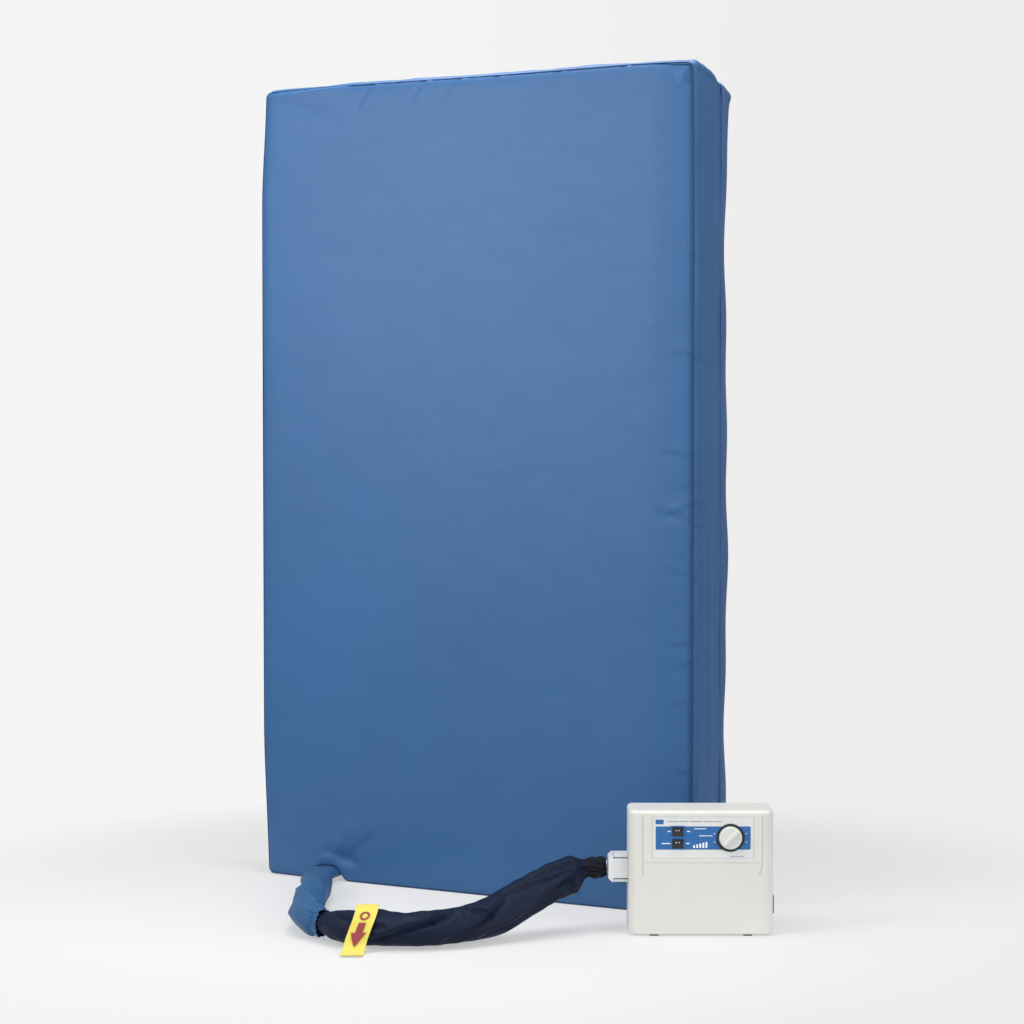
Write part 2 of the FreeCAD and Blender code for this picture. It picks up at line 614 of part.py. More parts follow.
def bed_hook(x):
    """Hook folded up against the back; turned down it hangs the pump on a bed end."""
    arm = box((x - 12, x + 12), (HOOK_Y - 3.5, HOOK_Y + 3.5), (HOOK_Z, HOOK_Z + 70))
    tip = box((x - 12, x + 12), (HOOK_Y - 3.5, HOOK_Y + 30), (HOOK_Z + 64, HOOK_Z + 70))
    barrel = cylinder(7.0, (x - 12, HOOK_Y, HOOK_Z), (x + 12, HOOK_Y, HOOK_Z))
    pin = cylinder(3.0, (x - 18.5, HOOK_Y, HOOK_Z), (x + 18.5, HOOK_Y, HOOK_Z))
    return fuse_all([arm, tip, barrel, pin])


def pump_feet():
    feet = []
    for x in (-106.0, 106.0):
        for y in (8.0, 106.0):
            foot = box((x - 10, x + 10), (y, y + 18), (0, FOOT_HEIGHT))
            feet.append(foot.makeFillet(3.0, edges_along(foot, Vector(0, 0, 1))))
    return Part.makeCompound(feet)


def case_screws():
    screws = []
    for x, z in SCREW_AT:
        head = cylinder(4.4, (x, PUMP_DEPTH - 1.6, z), (x, PUMP_DEPTH + 0.6, z))
        slot = box((x - 3.2, x + 3.2), (PUMP_DEPTH - 0.6, PUMP_DEPTH + 1), (z - 0.6, z + 0.6))
        shank = cylinder(2.0, (x, PUMP_DEPTH - 18, z), (x, PUMP_DEPTH - 1.6, z))
        screws.append(head.cut(slot).fuse(shank).removeSplitter())
    return Part.makeCompound(screws)


def circuit_board():
    board = box((-100.0, 100.0), (24.0, 25.6), (180.0, 262.0))
    clear = cylinder(4.0, (KNOB_X, 20, KNOB_Z), (KNOB_X, 30, KNOB_Z))
    chips = [box((-90.0 + 34 * step, -72.0 + 34 * step), (25.6, 30.0), (186.0, 202.0)) for step in range(5)]
    return fuse_all([board.cut(clear)] + chips)


COMPRESSOR_X = (-62.0, 44.0)


def compressor_body():
    """Linear diaphragm compressor: two chambers and the frame between them."""
    block = box(COMPRESSOR_X, (46.0, 106.0), (FOOT_HEIGHT + WALL, 72.0))
    gap = box((COMPRESSOR_X[0] + 20, COMPRESSOR_X[1] - 20), (56.0, 96.0), (20.0, 80.0))
    caps = [cylinder(22.0, (COMPRESSOR_X[side] - step, 76, 42), (COMPRESSOR_X[side], 76, 42))
            for side, step in ((0, 10.0), (1, -10.0))]
    return fuse_all([block.cut(gap)] + caps)


def compressor_armature():
    """Magnet bar that shuttles between the two diaphragms."""
    bar = box((-34.0, 16.0), (62.0, 90.0), (30.0, 54.0))
    rod = cylinder(4.0, (-39.0, 76, 42), (21.0, 76, 42))
    return bar.fuse(rod).removeSplitter()


VALVE_AT = (98.0, 70.0)


def valve_body():
    """Ring that holds the rotary distribution valve."""
    x, z = VALVE_AT
    outer = cylinder(26.0, (x, 60, z + 70), (x, 84, z + 70))
    ports = [cylinder(4.0, (x, 72, z + 70), (x + 38 * math.cos(turn), 72, z + 70 + 38 * math.sin(turn)))
             for turn in (math.pi / 2, 7 * math.pi / 6, 11 * math.pi / 6)]
    return fuse_all([outer] + ports).cut(cylinder(18.05, (x, 58, z + 70), (x, 90, z + 70)))


def valve_rotor():
    """Slotted rotor that sends air to one set of cells, then the other."""
    x, z = VALVE_AT
    disc = cylinder(18.0, (x, 62, z + 70), (x, 82, z + 70))
    spindle = cylinder(3.0, (x, 82, z + 70), (x, 94, z + 70))
    slot = box((x - 3, x + 3), (60, 70), (z + 70, z + 90))
    return disc.cut(slot).fuse(spindle).removeSplitter()


# ---------------------------------------------------------------- hose connector
CONNECTOR_X = (-PUMP_SIDE - CONNECTOR_LENGTH - 0.6, -PUMP_SIDE - 0.6)
CONNECTOR_Y = (SOCKET_Y - CONNECTOR_DEPTH / 2, SOCKET_Y + CONNECTOR_DEPTH / 2)
CONNECTOR_Z = (SOCKET_Z - CONNECTOR_HEIGHT / 2, SOCKET_Z + CONNECTOR_HEIGHT / 2)
LEVER_X = CONNECTOR_X[0] + 12.0
LEVER_THICK = 6.0
CORE_Z = (CONNECTOR_Z[0] + LEVER_THICK + 2.6, CONNECTOR_Z[1] - LEVER_THICK - 2.6)
LUG_Y = (SOCKET_Y - 5.0, SOCKET_Y + 5.0)
PIN_X = LEVER_X + 4.0


def lever_pin_z(side):
    edge = CONNECTOR_Z[1] if side > 0 else CONNECTOR_Z[0]
    return edge - side * LEVER_THICK / 2


def hose_connector():
    """Two-port plug on the hose's end, with lugs for its two latch levers."""
    back = box((CONNECTOR_X[0], LEVER_X - 1.2), CONNECTOR_Y, CONNECTOR_Z)
    corners = [edge for edge in edges_along(back, Vector(0, 1, 0)) if edge.BoundBox.XMax < LEVER_X - 2]
    back = back.makeChamfer(8.0, corners)
    core = box((LEVER_X - 1.2, CONNECTOR_X[1]), CONNECTOR_Y, CORE_Z)
    parts = [back, core]
    holes = []
    for side in (-1, 1):
        z = lever_pin_z(side)
        reach = sorted((SOCKET_Z, z + side * 2.6))
        parts.append(box((PIN_X - 2.8, PIN_X + 2.8), LUG_Y, reach))
        holes.append(cylinder(1.55, (PIN_X, LUG_Y[0] - 1, z), (PIN_X, LUG_Y[1] + 1, z)))
    for up in (-14.0, 14.0):
        port = (CONNECTOR_X[1] - 1, SOCKET_Y, SOCKET_Z + up)
        parts.append(cylinder(6.6, port, (-PUMP_SIDE + 22, SOCKET_Y, SOCKET_Z + up)))
        holes.append(cylinder(4.5, port, (-PUMP_SIDE + 23, SOCKET_Y, SOCKET_Z + up)))
    return cut_all(fuse_all(parts), holes)


def latch_lever(side):
    """Squeeze lever on the connector, with the pin it turns on."""
    edge = CONNECTOR_Z[1] if side > 0 else CONNECTOR_Z[0]
    reach = sorted((edge, edge - side * LEVER_THICK))
    lever = box((LEVER_X, CONNECTOR_X[1] - 0.6), (CONNECTOR_Y[0] + 3, CONNECTOR_Y[1] - 3), reach)
    slot = box((LEVER_X - 1, PIN_X + 4), (LUG_Y[0] - 0.5, LUG_Y[1] + 0.5), (reach[0] - 1, reach[1] + 1))
    z = lever_pin_z(side)
    pin = cylinder(1.5, (PIN_X, LUG_Y[0] - 2, z), (PIN_X, LUG_Y[1] + 2, z))
    return lever.cut(slot).fuse(pin).removeSplitter()


# ---------------------------------------------------------------- write every node
save("top_cover", top_cover())
save("base_cover", base_cover())
save("cover_zip", cover_zip())
save("zip_slider", zip_slider())
save("zip_pull", zip_pull())
save("foam_base", foam_base())
save("side_bolster_left", side_bolster(-1))
save("side_bolster_right", side_bolster(1))
save("head_bolster", head_bolster())
save("foot_bolster", foot_bolster())
save("outlet_gland", outlet_gland())
for number in range(CELL_COUNT):
    save("air_cell_%02d" % (number + 1), air_cell(number))
save("air_manifold_a", air_manifold(0))
save("air_manifold_b", air_manifold(1))
save("base_straps", base_straps())
save("strap_buckles", strap_buckles())

save("air_hose", air_hose())
save("blue_sleeve", blue_sleeve())
save("navy_sleeve", navy_sleeve())
save("sleeve_cuff", sleeve_cuff())
save("cpr_strap", cpr_strap())

pump_nodes = {
    "front_case": front_case(),
    "rear_case": rear_case(),
    "control_label": control_label(),
    "knob_ring": knob_ring(),
    "pressure_knob": pressure_knob(),
    "switch_bezel": switch_bezel(),
    "power_rocker": rocker(ROCKER_ZS[0]),
    "mode_rocker": rocker(ROCKER_ZS[1]),
    "hose_socket": hose_socket(),
    "mains_inlet": mains_inlet(),
    "filter_cover": filter_cover(),
    "filter_foam": filter_foam(),
    "hook_left": bed_hook(HOOK_XS[0]),
    "hook_right": bed_hook(HOOK_XS[1]),
    "pump_feet": pump_feet(),
    "case_screws": case_screws(),
    "circuit_board": circuit_board(),
    "compressor_body": compressor_body(),
    "compressor_armature": compressor_armature(),
    "valve_body": valve_body(),
    "valve_rotor": valve_rotor(),
    "hose_connector": hose_connector(),
    "latch_lever_top": latch_lever(1),
    "latch_lever_bottom": latch_lever(-1),
}
for name, shape in pump_nodes.items():
    save(name, in_pump(shape))
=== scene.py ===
# %% [markdown]
# # A pressure relief mattress with its hose and pump
# The real object is an alternating-air mattress, stood on its foot end. A sleeved hose lies on
# the floor between it and a small pump. The maker's CAD model is the frame: every sewn, woven
# or gathered piece is made again here in its place, and the moulded pieces keep their CAD shape
# and get their finish here.

# %% Load the frame
import math

import bpy
import numpy as np
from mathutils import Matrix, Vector


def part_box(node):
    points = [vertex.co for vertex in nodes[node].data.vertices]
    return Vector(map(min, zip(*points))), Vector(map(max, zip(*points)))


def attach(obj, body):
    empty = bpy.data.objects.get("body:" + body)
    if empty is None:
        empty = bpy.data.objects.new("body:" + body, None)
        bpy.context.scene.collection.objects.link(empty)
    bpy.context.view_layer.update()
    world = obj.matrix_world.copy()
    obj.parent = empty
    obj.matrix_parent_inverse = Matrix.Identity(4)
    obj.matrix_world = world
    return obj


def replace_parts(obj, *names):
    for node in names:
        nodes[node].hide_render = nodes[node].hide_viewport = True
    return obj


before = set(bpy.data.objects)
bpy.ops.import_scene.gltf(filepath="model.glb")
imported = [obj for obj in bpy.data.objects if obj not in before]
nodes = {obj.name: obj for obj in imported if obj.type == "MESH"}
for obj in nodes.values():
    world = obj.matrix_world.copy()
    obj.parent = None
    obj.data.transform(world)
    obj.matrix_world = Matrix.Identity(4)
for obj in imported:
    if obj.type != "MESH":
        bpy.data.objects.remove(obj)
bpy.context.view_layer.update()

# %% [markdown]
# ## The camera
# The mattress is seen from its front right, from chest height, with a long lens that keeps its
# uprights parallel. A camera takes its direction from a vector, so it is aimed at a point in
# the middle of the mattress rather than turned by hand.

# %% Camera
camera_data = bpy.data.cameras.new("studio_camera")
camera_data.lens = 96.7
camera = bpy.data.objects.new("studio_camera", camera_data)
camera.location = (3.3837, -5.8859, 1.2179)
aim = Vector((0.061, 0.0, 0.939)) - camera.location
camera.rotation_euler = aim.to_track_quat("-Z", "Y").to_euler()
bpy.context.scene.collection.objects.link(camera)
bpy.context.scene.camera = camera
print("camera", tuple(round(x, 3) for x in camera.location), "lens", camera_data.lens)

# %% [markdown]
# ## The hose's line
# The air hose leaves the outlet in the foot end, lies on the floor in a wide bend and rises to
# the connector on the pump. It is one NURBS curve through control points, which bends as
# smoothly as a hose does. The order is set after the points, or it would stay at straight runs.

# %% Hose curve
HOSE_RADIUS = 0.015
hose_route = [
    (-0.425, -0.030, 0.020),
    (-0.425, -0.128, 0.020),
    (-0.356, -0.240, 0.030),
    (-0.262, -0.388, 0.041),
    (-0.178, -0.548, 0.042),
    (-0.112, -0.664, 0.041),
    (-0.042, -0.737, 0.041),
    (0.056, -0.764, 0.041),
    (0.150, -0.757, 0.041),
    (0.226, -0.728, 0.041),
    (0.288, -0.664, 0.043),
    (0.326, -0.570, 0.060),
    (0.366, -0.474, 0.100),
    (0.4256, -0.3745, 0.144),
    (0.4996, -0.3327, 0.149),
]


def hose_curve(name, route, radius):
    data = bpy.data.curves.new(name, "CURVE")
    data.dimensions = "3D"
    spline = data.splines.new("NURBS")
    spline.points.add(len(route) - 1)
    for point, place in zip(spline.points, route):
        point.co = (*place, 1.0)
    spline.order_u = 3
    spline.use_endpoint_u = True
    spline.resolution_u = 24
    data.bevel_depth = radius
    data.bevel_resolution = 8
    data.use_fill_caps = True
    curve = bpy.data.objects.new(name, data)
    bpy.context.scene.collection.objects.link(curve)
    return curve


hose = hose_curve("hose", hose_route, HOSE_RADIUS)

# %% [markdown]
# ## Stations along the hose
# The sleeves are tubes of cloth round the hose. To build them, the curve's own line is read as
# a mesh with no thickness, and evenly spaced stations are placed on it, each with a direction
# to its side and one that points up.


# %% Stations
class Line:
    """Evenly spaced stations along a curve, with side and up directions at each."""

    def __init__(self, curve, step=0.004):
        bare = bpy.data.objects.new("bare", curve.data.copy())
        bare.data.bevel_depth = 0
        bpy.context.scene.collection.objects.link(bare)
        bpy.context.view_layer.update()
        mesh = bpy.data.meshes.new_from_object(bare.evaluated_get(bpy.context.evaluated_depsgraph_get()))
        points = np.array([vertex.co for vertex in mesh.vertices])
        bpy.data.objects.remove(bare)
        bpy.data.meshes.remove(mesh)
        along = np.concatenate([[0], np.cumsum(np.linalg.norm(np.diff(points, axis=0), axis=1))])
        self.length = along[-1]
        self.along = np.linspace(0, self.length, int(self.length / step))
        self.points = np.stack([np.interp(self.along, along, points[:, i]) for i in range(3)], axis=1)

    def at(self, along):
        """Point, side and up directions at distances along the line."""
        spot = np.stack([np.interp(along, self.along, self.points[:, i]) for i in range(3)], axis=1)
        reach = 0.012
        ahead = np.stack([np.interp(along + reach, self.along, self.points[:, i]) for i in range(3)], axis=1)
        behind = np.stack([np.interp(along - reach, self.along, self.points[:, i]) for i in range(3)], axis=1)
        forward = ahead - behind
        forward /= np.linalg.norm(forward, axis=1)[:, None]
        side = np.cross(forward, (0.0, 0.0, 1.0))
        side /= np.linalg.norm(side, axis=1)[:, None]
        return spot, side, np.cross(side, forward)

    def nearest(self, place):
        return float(self.along[np.argmin(np.linalg.norm(self.points - np.array(place), axis=1))])


hose_line = Line(hose)
JOIN = hose_line.nearest((0.003, -0.748, 0.041))
SLEEVE_END = hose_line.length - 0.050
print("hose line %.3f m, blue sleeve ends at %.3f m, navy at %.3f m" % (hose_line.length, JOIN, SLEEVE_END))

# %% [markdown]
# ## Writing shaders as sums
# A finish is a small network of nodes. Drawn by hand it soon becomes a tangle, so here a value
# in the network is wrapped in a class with + - * ** on it, and each of those adds a Math node.
# Colours and vectors are never put through Math nodes, which would turn them grey.


# %% Shader values
class Term:
    """A number on its way through a shader's nodes."""

    def __init__(self, finish, socket):
        self.finish, self.socket = finish, socket

    def math(self, operation, *others):
        return self.finish.node("ShaderNodeMath", {"operation": operation}, [self, *others])

    def __add__(self, other):
        return self.math("ADD", other)

    def __sub__(self, other):
        return self.math("SUBTRACT", other)

    def __rsub__(self, other):
        return self.finish.node("ShaderNodeMath", {"operation": "SUBTRACT"}, [other, self])

    def __mul__(self, other):
        return self.math("MULTIPLY", other)

    def __pow__(self, other):
        return self.math("POWER", other)

    __radd__ = __add__
    __rmul__ = __mul__

    def sine(self):
        return self.math("SINE")

    def size(self):
        return self.math("ABSOLUTE")

    def ramp(self, low, high):
        """0 below low, 1 above high, and smooth between them."""
        return self.finish.node("ShaderNodeMapRange", {"interpolation_type": "SMOOTHSTEP"},
                                {"Value": self, "From Min": low, "From Max": high})


# %% Finishes
class Finish:
    """A material, built node by node. Its place is in metres, in the object's own axes."""

    def __init__(self, name):
        self.material = bpy.data.materials.new(name)
        self.material.use_nodes = True
        self.tree = self.material.node_tree
        self.shader = self.tree.nodes["Principled BSDF"]

    def node(self, kind, settings=None, sockets=None, output=0):
        made = self.tree.nodes.new(kind)
        for key, value in (settings or {}).items():
            setattr(made, key, value)
        pairs = sockets.items() if isinstance(sockets, dict) else enumerate(sockets or [])
        for key, value in pairs:
            self.put(made.inputs[key], value)
        return Term(self, made.outputs[output])

    def put(self, socket, value):
        if isinstance(value, Term):
            self.tree.links.new(value.socket, socket)
        elif isinstance(value, tuple) and len(value) == 3 and len(socket.default_value) == 4:
            socket.default_value = (*value, 1.0)
        else:
            socket.default_value = value

    def place(self, at=(0, 0, 0), turn=0.0, scale=(1, 1, 1)):
        """Object coordinates, measured from a point, turned about the upright, then scaled."""
        where = self.node("ShaderNodeTexCoord", output="Object")
        moved = self.node("ShaderNodeMapping", {"vector_type": "TEXTURE"},
                          {"Vector": where, "Location": at, "Rotation": (0, 0, turn)})
        return self.node("ShaderNodeVectorMath", {"operation": "MULTIPLY"}, [moved, scale])

    def axes(self, vector):
        return [self.node("ShaderNodeSeparateXYZ", None, [vector], output) for output in range(3)]

    def noise(self, vector, scale, detail=3.0, rough=0.55):
        return self.node("ShaderNodeTexNoise", None,
                         {"Vector": vector, "Scale": scale, "Detail": detail, "Roughness": rough}, "Fac")

    def cells(self, vector, scale, feature="F1"):
        return self.node("ShaderNodeTexVoronoi", {"feature": feature}, {"Vector": vector, "Scale": scale},
                         "Distance")

    def blend(self, share, first, second):
        """A colour between two, by a share from 0 to 1."""
        made = self.tree.nodes.new("ShaderNodeMix")
        made.data_type = "RGBA"
        colours = [socket for socket in made.inputs if socket.type == "RGBA"]
        self.put(made.inputs[0], share)
        self.put(colours[0], first)
        self.put(colours[1], second)
        return Term(self, next(socket for socket in made.outputs if socket.type == "RGBA"))

    def relief(self, height, depth, strength=1.0, under=None):
        """A bump from a height term, with depth in metres."""
        sockets = {"Height": height, "Distance": depth, "Strength": strength}
        if under is not None:
            sockets["Normal"] = under
        return self.node("ShaderNodeBump", None, sockets)

    def shade(self, **sockets):
        for key, value in sockets.items():
            self.put(self.shader.inputs[key.replace("_", " ").title().replace("Ior", "IOR")], value)
        return self.material


def paint(red, green, blue):
    """A colour from its usual 0 to 255 numbers, as the light it reflects."""
    return tuple((c / 255 / 12.92) if c <= 10 else ((c / 255 + 0.055) / 1.055) ** 2.4
                 for c in (red, green, blue))


def scaled(colour, share):
    return tuple(min(1.0, c * share) for c in colour)


print("white paint", [round(c, 3) for c in paint(230, 230, 228)])

# %% [markdown]
# ## Cloth finishes
# Cover cloth is a fine knit with a thin coating: almost smooth, with a soft sheen, faint
# crosswise threads and slow changes of tone. A weave is two sets of waves, and since a sheet
# here may face any way, the waves run along all three axes and whichever pair lies in the
# surface shows.


# %% Cloth
def weave(finish, pitch, lean=0.0):
    """Height from 0 to 1 of threads that cross, pitch metres apart."""
    x, y, z = finish.axes(finish.place(turn=lean))
    turn = 2 * math.pi / pitch
    across = (x * turn).sine() + (y * turn).sine()
    return (across * (z * turn).sine()) * 0.25 + 0.5


def coated_cloth(name, colour, pale, thread=0.0011, sheen=0.05, rough=0.50):
    finish = Finish(name)
    fine = weave(finish, thread)
    streaks = finish.noise(finish.place(scale=(5, 5, 150)), 1.0, 4.0)
    slow = finish.noise(finish.place(), 2.2, 2.0)
    mottle = finish.noise(finish.place(), 60.0, 3.0)
    tone = slow.ramp(0.3, 0.75) * 0.55 + streaks * 0.3 + mottle * 0.15
    finish.shade(base_color=finish.blend(tone, colour, pale), sheen_weight=sheen, sheen_roughness=0.5,
                 sheen_tint=(0.75, 0.85, 1.0), roughness=streaks * 0.1 + mottle * 0.06 + (rough - 0.08),
                 specular_ior_level=0.36)
    crumple = finish.noise(finish.place(scale=(1.0, 1.0, 1.6)), 9.0, 5.0, 0.5)
    soft = finish.relief(crumple, 0.004, 0.30)
    lined = finish.relief(streaks, 0.0005, 0.30, soft)
    return finish.shade(normal=finish.relief(fine, 0.00012, 0.5, lined))


def plain_weave(name, colour, pale, thread, rough=0.75, sheen=0.3, crease=0.5, crease_scale=40.0, shine=0.2,
                ridges=0.0):
    """Uncoated cloth: matt, with threads that show close by and small creases everywhere."""
    finish = Finish(name)
    fine = weave(finish, thread, 0.6)
    tone = finish.noise(finish.place(), 26.0, 4.0)
    fluff = finish.noise(finish.place(), 400.0, 2.0)
    finish.shade(base_color=finish.blend(tone * 0.7 + fine * 0.3, colour, pale), sheen_weight=sheen,
                 sheen_roughness=0.45, roughness=fluff * 0.12 + (rough - 0.06), specular_ior_level=shine)
    crumple = finish.noise(finish.place(), crease_scale, 5.0, 0.55)
    soft = finish.relief(crumple, 0.003, crease)
    if ridges:
        ridge = 1.0 - (finish.noise(finish.place(), ridges, 2.0, 0.5) - 0.5).size() * 5.0
        soft = finish.relief(ridge, 0.0045, 0.55, soft)
    return finish.shade(normal=finish.relief(fine, 0.0003, 0.6, soft))


cover_cloth = coated_cloth("cover_cloth", scaled(paint(44, 89, 137), 0.94), scaled(paint(44, 89, 137), 1.06))
flap_cloth = coated_cloth("flap_cloth", paint(54, 84, 130), paint(62, 94, 142), rough=0.55)
base_cloth = coated_cloth("base_cloth", paint(24, 29, 44), paint(34, 40, 58), thread=0.0016, rough=0.6)
blue_sleeve_cloth = plain_weave("blue_sleeve_cloth", paint(40, 79, 121), paint(54, 96, 138), 0.0010, 0.55,
                                0.02, ridges=14.0)
navy_cloth = plain_weave("navy_cloth", paint(11, 20, 40), paint(21, 32, 56), 0.0009, 0.44, 0.0, 0.6, 30.0,
                         0.13, 11.0)
elastic_cloth = plain_weave("elastic_cloth", paint(12, 14, 22), paint(22, 25, 36), 0.0014, 0.7, 0.0,
                            shine=0.15)
strap_cloth = plain_weave("strap_cloth", paint(212, 196, 86), paint(226, 212, 104), 0.0012, 0.7, 0.05, 0.25)
webbing_cloth = plain_weave("webbing_cloth", paint(44, 47, 54), paint(66, 70, 78), 0.0022, 0.8, 0.05, 0.2)
zip_cloth = plain_weave("zip_cloth", paint(26, 34, 58), paint(38, 48, 76), 0.0010, 0.8, 0.05, 0.2)
strap_print = plain_weave("strap_print", paint(140, 56, 64), paint(156, 70, 76), 0.0012, 0.7, 0.03, 0.2)
# The piping is a darker blue than the cover: painted shade for the dark line along the seam.
seam_shade_piping_cloth = plain_weave("seam_shade_piping_cloth", paint(22, 48, 92), paint(32, 62, 110), 0.0010, 0.6, 0.0, 0.2)
print("cloths ready")

# %% [markdown]
# ## Moulded and other hard finishes
# Pump cases are moulded with a fine spark-eroded grain. One recipe makes them all: a colour
# that drifts slightly, a grain as a bump, and a roughness that follows the same drift.


# %% Plastics
PUMP_AT = (0.715, -0.286, 0.0)
PUMP_TURN = math.radians(29.4)


def moulded(name, colour, rough=0.42, grain=1400.0, depth=0.00012, drift=0.05, coat=0.0, metallic=0.0):
    finish = Finish(name)
    here = finish.place(PUMP_AT, PUMP_TURN)
    slow = finish.noise(here, 14.0, 3.0)
    pits = finish.noise(here, grain, 2.0)
    dust = finish.noise(here, 90.0, 4.0)
    finish.shade(base_color=finish.blend(slow * 0.7 + dust * 0.3, scaled(colour, 1 - drift),
                                         scaled(colour, 1 + drift)),
                 roughness=slow * 0.08 + dust * 0.08 + (rough - 0.08), metallic=metallic, coat_weight=coat,
                 coat_roughness=0.2)
    return finish.shade(normal=finish.relief(pits, depth, 0.6))


def foamed(name, colour, scale=900.0):
    """Open-cell foam: many small pits of different sizes, with painted shade that darkens the colour in each
    pit.
    """
    finish = Finish(name)
    pits = finish.cells(finish.place(), scale)
    drift = finish.noise(finish.place(), 30.0, 3.0)
    # The colour is darker at the bottom of each pit: painted shade in the pits.
    finish.shade(base_color=finish.blend(pits.ramp(0.0, 0.9) * 0.8 + drift * 0.2, scaled(colour, 0.75),
                                         colour),
                 roughness=drift * 0.1 + 0.85)
    return finish.shade(normal=finish.relief(pits, 0.0008, 0.7))


def filmed(name, colour, rough=0.3):
    """Welded film: glossy, with soft shallow creases, a slight haze in its roughness, and painted shade that
    darkens the colour in the creases' hollows.
    """
    finish = Finish(name)
    crease_and_shade = finish.noise(finish.place(), 18.0, 4.0)
    # The colour is darker in the creases' hollows: painted shade.
    finish.shade(base_color=finish.blend(crease_and_shade, scaled(colour, 0.85), colour),
                 roughness=crease_and_shade * 0.2 + (rough - 0.1),
                 coat_weight=0.3, coat_roughness=0.15)
    return finish.shade(normal=finish.relief(crease_and_shade, 0.004, 0.4))


def rubbed_metal(name, colour, rough=0.3):
    finish = Finish(name)
    lines = finish.noise(finish.place(PUMP_AT, PUMP_TURN, (1200, 60, 60)), 1.0, 3.0)
    finish.shade(base_color=finish.blend(lines, scaled(colour, 0.85), colour), metallic=1.0,
                 roughness=lines * 0.2 + (rough - 0.1))
    return finish.shade(normal=finish.relief(lines, 0.0001, 0.5))


case_white = moulded("case_white", paint(215, 214, 209), 0.44, depth=0.00010)
label_white = moulded("label_white", paint(218, 220, 219), 0.36, 600.0, 0.00003, 0.02)
label_blue = moulded("label_blue", paint(44, 104, 164), 0.36, 600.0, 0.00003, 0.06)
label_mark = moulded("label_mark", paint(236, 240, 242), 0.35, 600.0, 0.00003, 0.02)
label_rim = moulded("label_rim", paint(188, 192, 194), 0.4, 600.0, 0.00003, 0.03)
label_grey = moulded("label_grey", paint(150, 158, 166), 0.4, 600.0, 0.00003, 0.04)
knob_white = moulded("knob_white", paint(214, 214, 211), 0.38, 1600.0, 0.00006, 0.03)
connector_white = moulded("connector_white", paint(216, 218, 220), 0.36, 1200.0, 0.00006, 0.03)
switch_black = moulded("switch_black", paint(22, 26, 34), 0.55, 1200.0, 0.00006, 0.10)
inlet_black = moulded("inlet_black", paint(22, 22, 24), 0.40, 1000.0, 0.00010, 0.10)
hook_grey = moulded("hook_grey", paint(96, 100, 106), 0.5, 900.0, 0.00012, 0.06)
foot_rubber = moulded("foot_rubber", paint(60, 61, 63), 0.75, 700.0, 0.0002, 0.10)
black_rubber = moulded("black_rubber", paint(26, 26, 28), 0.7, 500.0, 0.0002, 0.12)
hose_vinyl = moulded("hose_vinyl", paint(196, 202, 206), 0.28, 60.0, 0.0006, 0.05, coat=0.3)
buckle_black = moulded("buckle_black", paint(24, 25, 28), 0.38, 900.0, 0.00012, 0.10)
zip_nylon = moulded("zip_nylon", paint(28, 33, 52), 0.4, 500.0, 0.0006, 0.12)
board_green = moulded("board_green", paint(26, 84, 56), 0.4, 160.0, 0.0004, 0.25)
foam_cream = foamed("foam_cream", paint(226, 214, 178))
bolster_foam = foamed("bolster_foam", paint(200, 206, 214), 700.0)
filter_grey = foamed("filter_grey", paint(52, 54, 58), 500.0)
bladder_film = filmed("bladder_film", paint(112, 148, 190))
tube_film = filmed("tube_film", paint(198, 208, 214), 0.22)
screw_steel = rubbed_metal("screw_steel", paint(186, 188, 192))
slider_metal = rubbed_metal("slider_metal", paint(120, 124, 132), 0.36)
alloy_grey = rubbed_metal("alloy_grey", paint(176, 180, 184), 0.45)
magnet_black = rubbed_metal("magnet_black", paint(70, 72, 76), 0.5)
print("materials", len(bpy.data.materials))

# %% Finish of each CAD node
# knob_ring gets the dark switch finish. Its dark tone is partly the ring's own plastic and partly a painted
# shadow of the knob.
node_finish = {
    "foam_base": foam_cream, "side_bolster_left": bolster_foam, "side_bolster_right": bolster_foam,
    "head_bolster": bolster_foam, "foot_bolster": bolster_foam, "outlet_gland": black_rubber,
    "air_manifold_a": tube_film, "air_manifold_b": tube_film, "zip_slider": slider_metal,
    "zip_pull": slider_metal, "strap_buckles": buckle_black, "front_case": case_white,
    "rear_case": case_white, "control_label": label_white, "knob_ring": switch_black,
    "pressure_knob": knob_white, "switch_bezel": label_blue, "power_rocker": switch_black,
    "mode_rocker": switch_black, "hose_socket": connector_white, "mains_inlet": inlet_black,
    "filter_cover": case_white, "filter_foam": filter_grey, "hook_left": hook_grey,
    "hook_right": hook_grey, "pump_feet": foot_rubber, "case_screws": screw_steel,
    "circuit_board": board_green, "compressor_body": alloy_grey, "compressor_armature": magnet_black,
    "valve_body": alloy_grey, "valve_rotor": magnet_black, "hose_connector": connector_white,
    "latch_lever_top": connector_white, "latch_lever_bottom": connector_white,
}
for name, node in nodes.items():
    finish = node_finish.get(name, bladder_film)
    node.data.materials.clear()
    node.data.materials.append(finish)
print("CAD nodes finished", len(nodes))

# %% [markdown]
# ## Making a mesh from numbers
# Cloth panels start as grids of points. A grid is an array with one row of points for each
# step, and its faces join four neighbours, so one short helper makes every one of them.


# %% Mesh helpers
def grid_faces(rows, columns, round_columns=False, first=0):
    """Four-sided faces of a grid of points, joined round to the first column if asked."""
    around = columns if round_columns else columns - 1
    row, column = np.meshgrid(np.arange(rows - 1), np.arange(around), indexing="ij")
    after = (column + 1) % columns
    corners = [row * columns + column, row * columns + after, (row + 1) * columns + after,
               (row + 1) * columns + column]
    return (first + np.stack(corners, axis=-1).reshape(-1, 4)).tolist()


